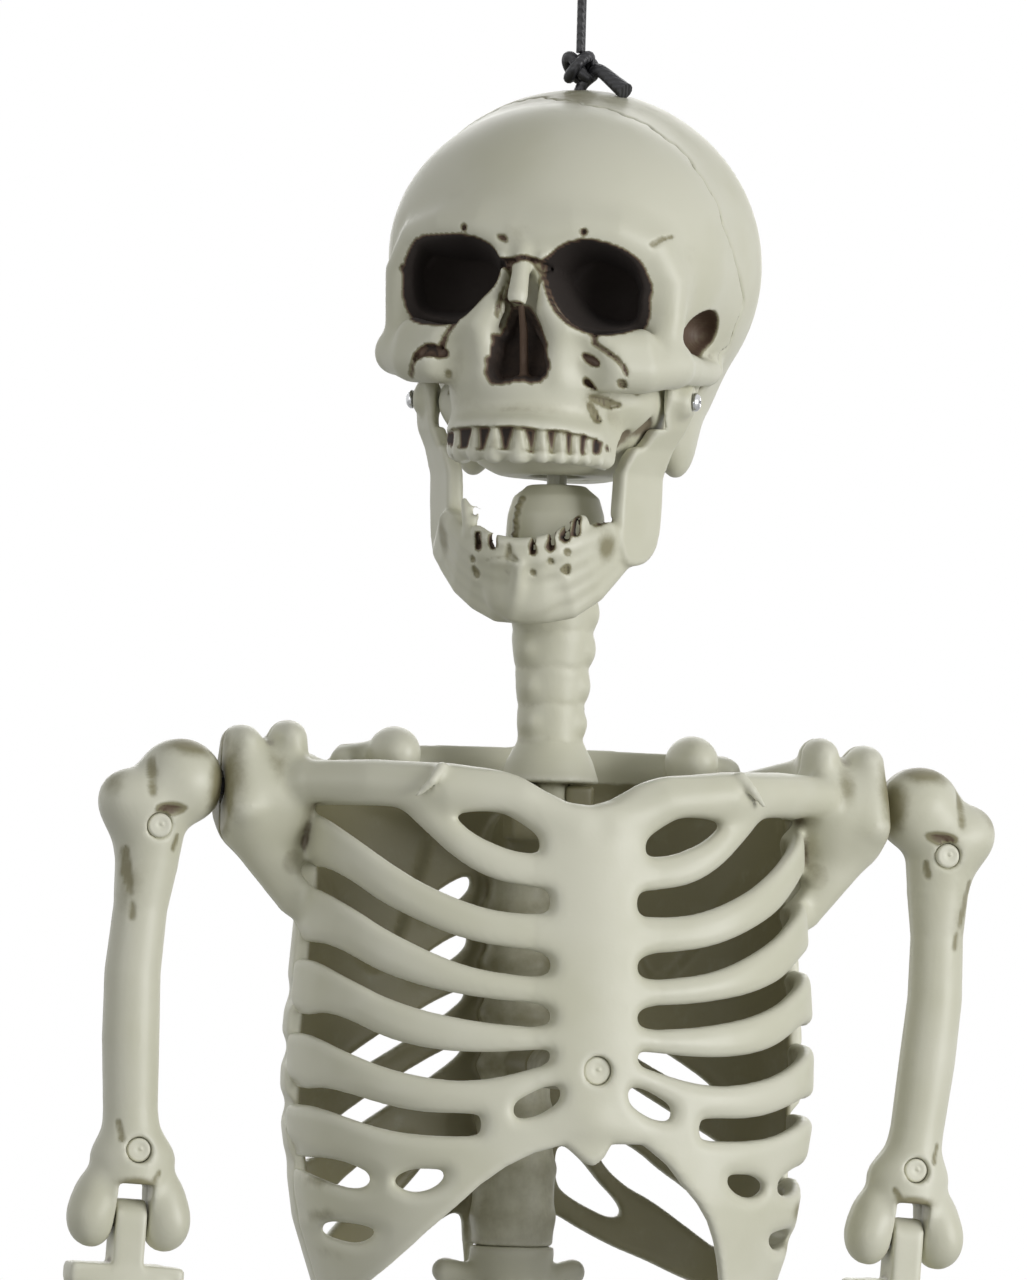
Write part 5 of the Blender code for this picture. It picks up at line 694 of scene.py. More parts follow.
# The two jaw screws: plated pan heads with a crossed slot, driven into the skull through
# the branches of the jaw.
def bright_plate():
    """Bright zinc plate on turned steel: a clear, slightly brushed mirror."""
    material = bpy.data.materials.new("bright_zinc_plate")
    tree, skin, place = surface_of(material)
    lap = node(tree, "TexNoise", {"Vector": place, "Scale": 1 / (0.6 * MM), "Detail": 2.0}).outputs["Fac"]
    rough = node(tree, "MapRange", {"Value": lap, "To Min": 0.14, "To Max": 0.3}).outputs[0]
    tree.links.new(rough, skin.inputs["Roughness"])
    colour = node(tree, "Mix", {0: lap, 6: linear("#B9BABC"), 7: linear("#DADBDC")},
                  data_type="RGBA").outputs[2]
    tree.links.new(colour, skin.inputs["Base Color"])
    skin.inputs["Metallic"].default_value = 1
    return material


steel = bright_plate()
for label, side in SIDES:
    screw = Mould((-13.5, -3.6, -3.6), (3, 3.6, 3.6), 0.16)
    screw.drum((0, 0, 0), 0, ((-13, 0.9), (-12.5, 1.3), (0.3, 1.3)), 0.2)
    screw.drum((0, 0, 0), 0, ((0, 2.75), (0.8, 2.8), (1.4, 2.4), (2, 1.6)), 0.3)
    screw.block((2, 0, 0), (1.1, 1.5, 0.35), 0.1, 0.1, cut=True)
    screw.block((2, 0, 0), (1.1, 0.35, 1.5), 0.1, 0.1, cut=True)
    seat = HEAD @ Matrix.Translation((side * 42.9 * MM, -9 * MM, 22.5 * MM))
    moulding("jaw_pan_screw_" + label, screw, seat, "head", ["jaw_screw_" + label], steel, side < 0)


# The neck: a column of moulded vertebrae with a chamfered block under the skull. A pale
# peg with a mushroom head snaps into the skull and lets the head turn.
def satin_nylon():
    """Black injection-moulded nylon: a soft, even sheen."""
    material = bpy.data.materials.new("black_moulded_nylon")
    tree, skin, place = surface_of(material)
    flow = node(tree, "TexNoise", {"Vector": place, "Scale": 1 / (4 * MM), "Detail": 3.0}).outputs["Fac"]
    colour = node(tree, "Mix", {0: flow, 6: linear("#19181A"), 7: linear("#2C2A2B")},
                  data_type="RGBA").outputs[2]
    tree.links.new(colour, skin.inputs["Base Color"])
    rough = node(tree, "MapRange", {"Value": flow, "To Min": 0.38, "To Max": 0.55}).outputs[0]
    tree.links.new(rough, skin.inputs["Roughness"])
    skin.inputs["IOR"].default_value = 1.53
    return material


def dress(names, material):
    """Gives finished parts that come straight from the drawing their material."""
    for name in names:
        part = bpy.data.objects[name]
        part.data.materials.clear()
        part.data.materials.append(material)


nylon = satin_nylon()
neck = Mould((-19, -19, -225), (19, 21, -121), 0.75)
NECK_WIDTHS = ((0, 17.4), (1.2, 20), (3.6, 26), (9, 29.2), (16, 30), (24, 29), (33, 26.6), (42.3, 25), (47, 24.6),
               (59, 21.6), (67, 20.4), (75.6, 19.6), (78.6, 21.5), (83, 26), (87.6, 29), (89.5, 30))
neck.drum((0, 0, -122.5), 2, [(-drop, width / 2) for drop, width in reversed(NECK_WIDTHS)], 1.5)
neck.drum((0, 0, -223), 2, ((0, 6), (13, 6)), 0.5)
for drop in (150, 161, 172, 183, 194):
    width = np.interp(drop - 122.5, *zip(*NECK_WIDTHS)) / 2
    for side in (1, -1):
        neck.ball((side * (width - 3), -width * 0.3, -drop), (2.9, 4.6, 3.4), 3)
    neck.ball((0, width * 0.85, -drop), (3, 5, 3.4), 3)
    where, x, y, z = neck.near((-19, -19, -drop - 9), (19, 21, -drop - 2), 0)
    neck.score(where, z + drop + 5.5 + 0.5 * np.sin(x * 0.6) + 0 * y, 0.35, 1.1, 0.1)
# A groove at the edge of the top block, darkened as painted shade.
neck.rod([(-14.2, -7, -127, 0.7), (-15.2, -6.4, -132, 0.9), (-15.4, -6, -140, 0.8)], 0.8, cut=True, stain=0.5)
for step in range(7):
    drop = 127.4 + 2.1 * step
    width = np.interp(drop - 122.5, *zip(*NECK_WIDTHS)) / 2
    neck.ball((-0.92 * width - 0.5 * (step % 2), -5.4, -drop), (1.2, 1.6, 0.9), 0.4, stain=0.4)
neck.ball((9.6, -3.6, -191), (1.2, 1.4, 1), 0.4, cut=True, stain=0.7)
moulding("neck_column", neck, TORSO, "torso", ["neck"], bone)
dress(["head_peg"], bone)


# The front of the chest: breastbone, collar bones and ribs in one thin moulding, with the
# front halves of the two shoulder blocks. It closes on the back shell along a flat seam.
CHEST_SEAM = -6.0
GIRTH = ((0, 0.94), (0.2, 0.955), (0.5, 1), (0.65, 1), (0.85, 0.94), (1, 0.84))
SWELL = ((0, 0.8), (0.3, 0.92), (0.6, 1), (0.8, 1), (1, 0.94))
FRONT_SLOTS = (
    ((16, 229, 234), (22, 224.7, 233.7), (27, 222, 232.5), (35, 222, 229), (40, 223, 224.7)),
    ((13, 244.5, 251.4), (20, 243.6, 251.7), (30, 242, 251), (40, 236.7, 248), (50, 227, 243.3), (55, 221.5, 240),
     (60, 221, 236.4), (70, 221, 227.7), (75, 221, 222)),
    ((13, 262.8, 270.5), (30, 261.3, 269), (40, 259, 266.7), (50, 255, 262.5), (60, 249.6, 257), (65, 245.4, 253),
     (70, 241, 249.3), (75, 237.6, 245), (78, 240, 241)),
    ((13, 278, 285), (30, 277, 284), (40, 275.6, 282.6), (50, 273.6, 280.6), (60, 270, 277), (65, 267, 274),
     (70, 263.4, 271), (75, 261, 267), (78, 264, 265)),
    ((13, 291, 295), (20, 291.6, 297.3), (30, 292.4, 300), (40, 292.5, 301), (50, 291.5, 300), (60, 288.8, 297.6),
     (70, 283, 293), (75, 282, 289.5), (78, 286.5, 287.5)),
    ((33, 311, 316), (36, 310.3, 317), (50, 310.4, 317), (60, 308.4, 315.6), (70, 305, 312), (75, 304, 309.6),
     (78, 308, 309)),
    ((10, 301.5, 306), (15, 302, 309.6), (20, 304.5, 311.4), (24, 307, 311)),
    ((62, 329, 332), (65, 327, 333.5), (70, 325, 332.4), (76, 325, 328.8)),
    ((43, 327, 330), (47, 326.8, 333), (52, 327, 333.8), (56, 329.4, 331.5)),
    ((60, 345, 347), (63, 344, 349.5), (67, 343.5, 349), (71, 343.5, 347)),
)
LEFT_ARCH = ((0, 325), (3, 322.6), (5.3, 318.4), (15, 318.4), (22.6, 324.1), (27.6, 329.9), (32.7, 335.1), (36.5, 340.4),
             (39.1, 346.2), (41.1, 353.2), (43, 362), (45, 380))
RIGHT_ARCH = ((-64, 380), (-60.2, 360.5), (-54.3, 353.4), (-47.3, 345.2), (-40.3, 338.1), (-33.2, 331), (-26.1, 325.6),
              (-17.8, 321.3), (-9.3, 318.9), (-6.6, 320.9), (-3, 324))


def barrel(solid, depth, facing, wall, relief, inner_wash_and_shade):
    """The wall of the chest, front or back, with relief where ribs stand out and wash with painted shade on its inner
    face.
    """
    where, x, y, z = solid.near((-90, -80, -380), (90, 80, -200), 0)
    share = (-z - 210) / 157
    wide = 79 * np.interp(share, *zip(*GIRTH)).astype(np.float32)
    deep = depth * np.interp(share, *zip(*SWELL)).astype(np.float32)
    u = np.abs(x) / wide
    v = np.maximum((y - CHEST_SEAM) * facing, 0) / deep
    far = np.maximum((u ** 2.4 + v ** 2.4) ** (1 / 2.4), 0.2)
    steep = np.sqrt(((u / far) ** 1.4 / wide) ** 2 + ((v / far) ** 1.4 / deep) ** 2)
    out = (far - 1) / np.maximum(steep, 1e-4) - relief
    ends = np.maximum(z + 211, -z - 367)
    solid.press(where, np.maximum(np.maximum(np.abs(out + wall / 2) - wall / 2, ends), 0 * out - 9), 1)
    # The inner face of the wall darkens: painted shade inside the chest, with some wash.
    solid.stain[where] = np.maximum(solid.stain[where], inner_wash_and_shade * np.clip(1.4 - (out + wall) / 1.5, 0, 1) * (z < -211))


def shoulder_blocks(solid):
    """The two blocks that take the arms' pins: two lobes, a taper and a flat face, with painted shade in the grooves
    and on the flat face by the arm.
    """
    for side in (1, -1):
        solid.ball((side * 88.5, CHEST_SEAM, -218.5), (15.5, 15, 15.5), 3)
        solid.rod([(side * 96.6, CHEST_SEAM, -203.6, 6), (side * 97, CHEST_SEAM, -222, 8.6)], 4, (1, 1.9, 1))
        solid.rod([(side * 82.6, CHEST_SEAM, -201.4, 5.6), (side * 82, CHEST_SEAM, -214, 6.4)], 3, (1, 1.9, 1))
        solid.rod([(side * 91, CHEST_SEAM, -228, 10), (side * 79, CHEST_SEAM, -248, 6)], 5)
        # The grooves between the lobes, darkened as painted shade.
        for facing in (-1, 1):
            deep = CHEST_SEAM + facing * 15.4
            solid.rod([(side * 89.8, deep - facing * 3, -195.5, 2.4), (side * 88.6, deep, -206, 2.4),
                       (side * 86.4, deep + facing * 1.4, -216, 1.2)], 2.5, cut=True, stain=0.36)
        # The flat face against the arm, darkened as painted shade.
        solid.block((side * 122.4, CHEST_SEAM, -216), (20, 40, 60), 0.2, 1.2, cut=True, stain=0.3, edge=2.2)
        solid.drum((side * 90, CHEST_SEAM, -216), 0, ((-14, 4.2), (14, 4.2)), 0.4, cut=True)


def slot_outline(rows, side):
    """The outline of a gap between ribs, from rows of distance out, upper and lower drop."""
    upper = [(side * out, -top) for out, top, bottom in rows]
    lower = [(side * out, -bottom) for out, top, bottom in reversed(rows)]
    return rounded(upper + lower)


def rib_slots(solid, tables, back, front, soft):
    """Cuts the gaps between ribs through the wall, with rounded edges."""
    for rows in tables:
        for side in (1, -1):
            outline = slot_outline(rows, side)
            xs, zs = zip(*outline)
            where, x, y, z = solid.near((min(xs), back, min(zs)), (max(xs), front, max(zs)), soft + 1)
            solid.press(where, outline_gap(outline, x, z) + 0 * y, soft, cut=True)


front = Mould((-106, -66, -370), (106, -5, -193), 0.95)
where, x, y, z = front.near((-90, -80, -380), (90, 80, -200), 0)
nearest = 9.0
for rows in FRONT_SLOTS:
    for side in (1, -1):
        nearest = np.minimum(nearest, np.abs(outline_gap(slot_outline(rows, side), x, z)))
ripple = 1.3 * np.clip(nearest / 3.6, 0, 1) ** 0.7
barrel(front, 55, -1, 5, ripple, 0.24)
# Grooves at the ends of the lower ribs, tinted olive as painted shade.
for rows in FRONT_SLOTS[2:]:
    out, top, bottom = rows[-1]
    if out > 70:
        for side in (1, -1):
            level = -(top + bottom) / 2
            front.rod([(side * 75.4, -36, level - 1, 2.4), (side * 80.6, -20, level + 2, 3.7),
                       (side * 81, -5, level + 3, 4)], 3, cut=True, stain=0.16)
shoulder_blocks(front)
for side in (1, -1):
    front.rod([(side * 6, -49.8, -224.6, 5.2), (side * 22, -47.6, -217.8, 6.6), (side * 42, -43.4, -215.4, 7.2),
               (side * 62, -32, -214, 6.6), (side * 78, -19, -214, 6)], 4)
    front.rod([(side * 45.6, -47.6, -209.4, 1.8), (side * 49, -50, -213.6, 1.4), (side * 53, -48, -218, 0.8)], 1.2)
front.rod([(0, -51.5, -222, 4), (0, -53.5, -240, 4), (0, -57, -268, 4), (0, -59.4, -296, 4), (0, -59.8, -313, 3.4)], 4,
          (2.9, 1, 1))
front.rod([(-1, -59.5, -311, 4.6), (-1, -58.5, -319.6, 2.6)], 3, (1.3, 0.8, 1))
front.drum((0, 0, -297), 1, ((-56, 6.5), (-6, 6.5)), 1.5)
rib_slots(front, FRONT_SLOTS, -70, -4, 2.4)
notch = [(-34, -205), (-22, -211.4), (-14.9, -215.4), (-8, -218.6), (-1, -219.4), (5, -217.6), (14, -212.4), (28, -205)]
where, x, y, z = front.near((-34, -70, -222), (30, -5, -200), 0)
front.press(where, outline_gap(notch, x, z) + 0 * y, 3, cut=True)
edge = [(out, -drop) for out, drop in LEFT_ARCH + RIGHT_ARCH]
where, x, y, z = front.near((-64, -70, -380), (54, -5, -316), 0)
front.press(where, outline_gap(edge, x, z) + 0 * y, 2.4, cut=True)
front.block((0, 34, -290), (120, 39.85, 120), 0.1, 0.3, cut=True)
front.drum((0, 0, -297), 1, ((-70, 4.35), (-15, 4.35)), 0.4, cut=True, stain=0.12)
# Painted shade on each shoulder block's outer face beside the arm and in its groove; darker patches at the ends of the
# lower ribs.
for side in (1, -1):
    front.smear((side * 101, -14, -214), (4, 9, 12), 0.36)
    front.smear((side * 88, -21, -207), (3, 6, 9), 0.3)
for level in (-327, -338, -349):
    front.smear((75, -30, level), (6, 12, 3.4), 0.44)
    front.smear((-75, -28, level - 4), (6, 12, 2.6), 0.3)
moulding("chest_front_shell", front, TORSO, "torso", ["ribcage_front"], bone)


# The plug in the breastbone: a pressed disc of the same plastic over a screw, which runs
# through a post to the spine and holds the shells together.
def plug(name, place, nodes, body, diameter, thickness=2.0):
    """A pressed plastic disc with a soft rim and a dished face, facing forward."""
    disc = Mould((-diameter, -1, -diameter), (diameter, thickness + 1, diameter), 0.28)
    disc.drum((0, 0, 0), 1, ((0, diameter / 2 - 0.5), (0.5, diameter / 2), (thickness, diameter / 2)), 0.3)
    disc.ball((0.4, -2.1, 0.3), (diameter * 0.36, 2.5, diameter * 0.34), 0.5, cut=True)
    disc.ball((0.5, 0.3, 0.4), (0.7, 0.5, 0.6), 0.3)
    moulding(name, disc, place, body, nodes, bone)


plug("breastbone_plug", TORSO @ Matrix.Translation((0, -61.6 * MM, -297 * MM)), ["sternum_plug"], "torso", 8.4)
dress(["sternum_screw"], steel)


# The back of the chest: spine, back ribs and shoulder blades in one moulding, with the rear
# halves of the shoulder blocks and the seat of the neck.
REAR_SLOTS = tuple(
    ((inner * 79, drop_in - 2.6, drop_in + 2.6), ((inner + outer) * 39.5, (drop_in + drop_out) / 2 - 3.7,
     (drop_in + drop_out) / 2 + 3.7), (outer * 79, drop_out - 2.4, drop_out + 2.4))
    for inner, outer, drop_in, drop_out in (
        (0.19, 0.37, 242.2, 250.8), (0.19, 0.4, 259.5, 269.7), (0.19, 0.78, 276, 304.2), (0.19, 0.88, 292.4, 326.2)))
LOW_GAPS = ([(16, -333.3), (20, -337), (26.3, -340.5), (32.7, -343.4), (36.4, -342.4), (34.5, -338), (28.6, -332),
             (23.4, -325.3), (16, -320)],
            [(28.4, -324.6), (36.3, -333), (45.3, -337.7), (55.8, -346.1), (63, -352.6), (67.6, -350), (62, -341),
             (53, -332.7), (47.7, -329), (39.8, -322), (31, -318)],
            [(13.4, -341), (22.7, -346.6), (33, -352), (43.3, -356.1), (52.3, -360.8), (60, -364), (60, -380), (10, -380),
             (13, -352)])
BLADE = [(24, -210), (60, -207), (84, -206), (84, -224), (64, -240), (52, -266), (42, -272), (34, -250)]
rear = Mould((-106, -7, -370), (106, 53, -193), 0.95)
where, x, y, z = rear.near((-90, -80, -380), (90, 80, -200), 0)
nearest = 9.0
for rows in REAR_SLOTS:
    for side in (1, -1):
        nearest = np.minimum(nearest, np.abs(outline_gap(slot_outline(rows, side), x, z)))
ripple = 1.2 * np.clip(nearest / 3.6, 0, 1) ** 0.7
blade = np.minimum(outline_gap(rounded(BLADE), x, z), outline_gap(rounded([(-a, b) for a, b in BLADE]), x, z))
ripple = ripple + 2.4 * np.clip(0.5 - blade / 3, 0, 1)
barrel(rear, 48, 1, 5, ripple, 0.34)
shoulder_blocks(rear)
for side in (1, -1):
    rear.rod([(side * 30, 34.5, -222, 3.2), (side * 57, 27, -214, 4.4), (side * 84.5, 4, -208, 7)], 4)
    rear.rod([(side * 60, 17.5, -207.4, 2.6), (side * 44, 24.5, -206.8, 2.8), (side * 26, 28.2, -206.4, 2.8),
              (0, 29.6, -206.2, 2.8)], 3, (1, 1, 2))
    rear.ball((side * 46.5, 7, -204.4), (7.6, 13, 8.2), 4)
    rear.rod([(side * 48, 18, -206, 5.4), (side * 60, 14, -206.6, 4)], 3)
    # Grooves at the rib ends, tinted olive as painted shade.
    for drop in (277, 294, 311, 328, 345):
        rear.rod([(side * 80.8, -7, -drop, 3.8), (side * 80.4, 10, 1 - drop, 3.4), (side * 74, 26, 3 - drop, 2)], 3, cut=True,
                 stain=0.16)
# The spine, with the painted shade of the chest's inner face partly lifted off it.
rear.rod([(0, 29, -230, 9.6), (0, 29, -306, 10.4), (0, 29, -332, 12.4), (0, 29, -352, 12.6)], 3, stain=-0.6, edge=3)
for number in range(8):
    level = -236 - 15.4 * number
    rear.ball((0, 29, level), (11.4 + 0.2 * number, 11 + 0.2 * number, 5.4), 3)
    rear.rod([(0, 38, level, 3.4), (0, 43.5, level - 4.4, 2.2)], 3)
rear.rod([(0, 0, -218.5, 11.3), (0, 29, -232.5, 10.5)], 4)
rear.drum((0, 0, -229.3), 2, ((0, 13.5), (17, 13.5)), 1.5)
rear.drum((0, 0, -297), 1, ((-6, 6.5), (24, 6.5)), 1.5)
rib_slots(rear, REAR_SLOTS, -6, 60, 2.4)
for outline in LOW_GAPS:
    for side in (1, -1):
        corners = rounded([(side * out, height) for out, height in outline])
        xs, zs = zip(*corners)
        where, x, y, z = rear.near((min(xs), -8, min(zs)), (max(xs), 60, max(zs)), 3)
        rear.press(where, outline_gap(corners, x, z) + 0 * y, 2.4, cut=True)
rear.block((0, -46, -290), (120, 39.85 + 0.3, 120), 0.1, 0.3, cut=True)
rear.drum((0, 0, -212.3), 2, ((0, 16), (20, 16)), 0.5, cut=True)
rear.drum((0, 0, -223.3), 2, ((0, 6.3), (14, 6.3)), 0.3, cut=True)
rear.drum((0, 29, -382), 2, ((0, 15), (30.1, 15)), 0.5, cut=True)
rear.drum((0, 29, -356), 2, ((0, 5.4), (16, 5.4)), 0.3, cut=True)
moulding("chest_back_shell", rear, TORSO, "torso", ["ribcage_back"], bone)


# The lower spine: four moulded vertebrae on a core, plugged into the back shell above and
# into the pelvis below. Each has a wing at either side and a spike behind.
lumbar = Mould((-27, 10, -440), (27, 52, -339), 0.85)
lumbar.drum((0, 29, -438), 2, ((0, 5), (98, 5)), 0.4)
for number in range(4):
    level = -361.5 - 19 * number
    lumbar.drum((0, 29, level), 2, ((-9.5, 12.6), (-7, 12.9), (0, 11.6), (7, 12.9), (9.5, 12.6)), 1)
    for side in (1, -1):
        lumbar.rod([(side * 8, 29, level, 4.8), (side * 15, 30.6, level + 1, 3.4), (side * 20, 32, level + 1.6, 4)], 2.5)
    lumbar.rod([(0, 37, level, 4), (0, 44, level - 3.4, 3.2)], 2.5)
    where, x, y, z = lumbar.near((-16, 12, level - 12), (16, 46, level - 7), 0)
    lumbar.score(where, z - level + 9.5 + 0 * x * y, 1.0, 1.0, 0.3)
lumbar.block((0, 29, -462.6), (14, 14, 34), 0.2, 0.2, cut=True)
lumbar.drum((0, 29, -438), 2, ((0, 5), (12, 5)), 0.2)
moulding("lower_spine", lumbar, TORSO, "torso", ["lumbar_spine"], bone)


# The pelvis: hip bones, sacrum and the front arch in one moulding, with a flat face and a
# pin at each hip.
def pelvic(across, back, rise):
    """A place on the pelvis from shares of its half width, depth and height."""
    return across * 55, 6 + back * 60, rise * 94 - 484


pelvis = Mould((-60, -30, -526), (60, 50, -420), 0.95)
pelvis.rod([(0, 29, -428.3, 13), pelvic(0, 0.36, 0.36) + (13,), pelvic(0, 0.42, 0.14) + (8,)], 3)
for side in (1, -1):
    crest = [pelvic(side * a, b, c) for a, b, c in ((0.3, 0.32, 0.43), (0.62, 0.16, 0.42), (0.86, -0.1, 0.34))]
    pelvis.rod([(*p, 6) for p in crest], 3, (1.2, 1, 2.6))
    wing = [pelvic(side * a, b, c) for a, b, c in ((0.36, 0.26, 0.3), (0.72, 0.02, 0.2))]
    pelvis.rod([(*p, 6.6) for p in wing], 4, (1.2, 1, 2))
    pelvis.rod([(*p, 4.6) for p in (pelvic(side * 0.34, 0.3, 0.55), pelvic(side * 0.64, 0.15, 0.54),
                                    pelvic(side * 0.9, -0.1, 0.47), pelvic(side * 0.92, -0.14, 0.34))], 3)
    hip = (side * 37, 6, -484)
    pelvis.ball(hip, (13, 13, 14), 4)
    pelvis.rod([pelvic(side * 0.15, 0.32, 0.24) + (9,), pelvic(side * 0.62, 0.08, 0.14) + (9,), hip + (10,)], 4)
    pelvis.rod([hip + (8.4,), pelvic(side * 0.26, -0.36, -0.14) + (6.5,), pelvic(0, -0.4, -0.17) + (6.5,)], 4)
    pelvis.rod([hip + (9,), pelvic(side * 0.46, 0.06, -0.33) + (7,), pelvic(side * 0.24, -0.2, -0.34) + (5,),
                pelvic(side * 0.1, -0.38, -0.2) + (5.5,)], 4)
    for hole in range(3):
        pelvis.rod([(side * 6.5, 20, -446 - 10 * hole, 1.5), (side * 6.5, 50, -446 - 10 * hole, 1.8)], 1, cut=True,
                   stain=0.4)
    pelvis.block((side * 88, 6, -504), (40, 60, 36), 0.2, 1, cut=True)
    pelvis.drum((side * 41, 6, -484), 0, ((-8, 3), (12, 3)), 0.3, cut=True)
pelvis.block((0, 29, -398), (25, 19, 30), 0.2, 0.3, cut=True)
pelvis.drum((0, 29, -440), 2, ((0, 5.4), (20, 5.4)), 0.3, cut=True)
moulding("pelvis_moulding", pelvis, TORSO, "torso", ["pelvis"], bone)


# The limbs: hollow upper bones in two halves with plugged screws, solid lower bones, hands
# and feet, all on black nylon pins. One mould serves both sides, turned over.
def fork(solid, across, low, slot, rise, width):
    """Cuts the slot of a hinge."""
    # The slot is tinted olive inside: painted shade.
    solid.block((across, 0, low + rise - 40), (slot / 2, 40, 40), 0.3, 0.7, cut=True, stain=0.15)


def nose_tongue(solid, thickness, radius, drop, pin):
    """The round-nosed tongue that turns in a fork, bored for its pin."""
    where, x, y, z = solid.near((-thickness, -radius, -drop), (thickness, radius, radius), 3)
    round_nose = np.sqrt(y ** 2 + np.maximum(z, 0) ** 2) - radius
    slab = np.maximum(np.maximum(np.abs(x) - thickness / 2, round_nose), -z - drop)
    solid.press(where, slab, 0.8)
    solid.drum((0, 0, 0), 0, ((-thickness, pin / 2 + 0.35), (thickness, pin / 2 + 0.35)), 0.2, cut=True)


def seam(solid, low, high):
    """The fine line where the two halves of a hollow bone meet."""
    where, x, y, z = solid.near(low, high, 0)
    solid.score(where, y + 0 * x * z, 0.35, 0.55, 0.12)


def limb_pin(name, part, place, body, length, diameter):
    """A black nylon hinge pin with broken edges and a dimple in each end."""
    pin = Mould((-length / 2 - 1, -diameter, -diameter), (length / 2 + 1, diameter, diameter), 0.3)
    half = length / 2
    pin.drum((0, 0, 0), 0, ((-half, diameter * 0.4), (0.5 - half, diameter / 2), (half - 0.5, diameter / 2),
                            (half, diameter * 0.4)), 0.2)
    for side in (1, -1):
        pin.ball((side * (half + 0.4), 0, 0), (0.9, diameter * 0.22, diameter * 0.22), 0.2, cut=True)
    moulding(name, pin, place, body, [part], nylon)


ARM_LEAN = Matrix.Rotation(math.radians(3), 4, "Y")
upper_arm = Mould((-2, -18, -146), (43, 18, 17), 0.8)
upper_arm.ball((12.4, 0, 0), (13, 13, 13), 1)
upper_arm.ball((29, -1, -6.4), (7.4, 9.5, 8.4), 2)
upper_arm.ball((24, 0, -9), (10, 11, 10), 3)
upper_arm.rod([(21, 0, -8, 12), (20.4, 0, -24, 9.4), (21.2, 0, -38, 8), (22, 0, -57, 8.3), (21, 0, -76, 8.5),
               (19.4, 0, -97, 8.1), (18, 0, -110, 9), (17.5, 0, -118, 9.8)], 4)
upper_arm.rod([(17.5, 0, -112, 9.4), (17.5, 0, -121, 9)], 4, (1.35, 1, 1))
for side in (1, -1):
    upper_arm.ball((17.5 + side * 10.5, 0, -127), (7, 9, 11.5), 3)
    upper_arm.ball((17.5 + side * 13, -1, -130), (5, 7.4, 7), 3)
upper_arm.rod([(24.4, -6, 7, 2), (23.4, -11.6, 1, 2), (22.8, -13, -4, 1.2)], 1.6, cut=True, stain=0.5)
upper_arm.ball((15.4, -13.6, -8.8), (6, 3.4, 1.9), 1, cut=True, stain=0.66)
for line in (((28.4, -21, 0.6), (27.4, -28, 1), (26, -34, 0.5)), ((25.2, -37, 0.4), (24.8, -41, 0.7)),
             ((13.4, -16, 0.4), (14.4, -20, 0.6)), ((24, -101, 0.4), (23, -106, 0.7)), ((11, -115, 0.4), (12.4, -118, 0.6))):
    upper_arm.engrave(line, 0.3, 0.36, -30, 0, 0.8)
# Darker patches on the head of the bone and down its shaft; the band at the top of the elbow slot is painted shade.
for centre, radii, stain in (((11, -6, 11), (9, 8, 4), 0.42), ((2, -8, 0), (4, 7, 9), 0.42), ((33, -5, -2), (5, 6, 5), 0.22),
                             ((17.5, -7, -118.6), (5.4, 7, 1.8), 0.6), ((27, -6, -32), (5, 6, 12), 0.18)):
    upper_arm.smear(centre, radii, stain)
upper_arm.block((-19.2, 0, 0), (20, 30, 40), 0.2, 0.6, cut=True)
fork(upper_arm, 17.5, -130, 10.4, 11, 35)
seam(upper_arm, (-2, -18, -146), (43, 18, 17))
for out, low, front_y in ((19.5, -13.5, -11.2), (17.5, -109, -8.4)):
    upper_arm.drum((out, front_y, low), 1, ((-9, 3.9), (2.4, 3.9)), 0.5, cut=True, stain=0.12)

forearm = Mould((-21, -13, -126), (21, 13, 9), 0.8)
forearm.ball((0, 0, -19.5), (17.5, 8, 6.5), 2)
forearm.block((0, 0, -16), (17.2, 6.4, 3.2), 1.6, 2)
for way, share in ((-1, 1), (1, 0.9)):
    forearm.rod([(way * 9, 0, -19.5, 6.7 * share), (way * 9.4, 0, -38, 5 * share), (way * 8.5, 0, -57.5, 4.8 * share),
                 (way * 7.6, 0, -80, 4.6 * share), (way * 6, 0, -103, 5.2 * share)], 2)
forearm.ball((0, 0, -113), (11, 7, 10), 3)
fork(forearm, 0, -115, 6.8, 7.5, 22)
nose_tongue(forearm, 9.2, 6.5, 19, 4)

hand = Mould((-23, -16, -92), (23, 12, 8), 0.7)
hand.ball((0, 0, -18), (11, 5.5, 7), 2)
for lump in ((-5, -13.5), (5, -13.5), (-7, -20), (0, -21), (7, -20)):
    hand.ball((lump[0], -1, lump[1]), (3.8, 4.8, 3.4), 1.2)
for finger, tip in enumerate((0.84, 0.97, 1, 0.93)):
    across = (finger - 1.5) / 1.5
    root, knuckle = np.array((across * 7, 0, -18)), np.array((across * 10.6, 0, -45.8))
    end = np.array((across * 13.3, -2, 2.7 - 88 * tip))
    hand.rod([(*(root + (knuckle - root) * s), t * 5.4) for s, t in ((0, 0.67), (0.5, 0.5), (0.86, 0.56), (1, 0.7))], 1)
    hand.rod([(*(knuckle + (end - knuckle) * s), t * 5.4) for s, t in (
        (0, 0.7), (0.1, 0.62), (0.24, 0.48), (0.4, 0.54), (0.46, 0.61), (0.52, 0.54), (0.62, 0.45), (0.72, 0.52),
        (0.76, 0.56), (0.84, 0.46), (1, 0.42))], 0.8)
hand.rod([(-8, 0, -20, 4), (-15, -5, -34, 3.3), (-16, -6, -37, 3.7), (-17.5, -8, -46, 2.9), (-18, -9, -56, 2.5)], 1.5)
nose_tongue(hand, 5.6, 5, 18, 3.2)

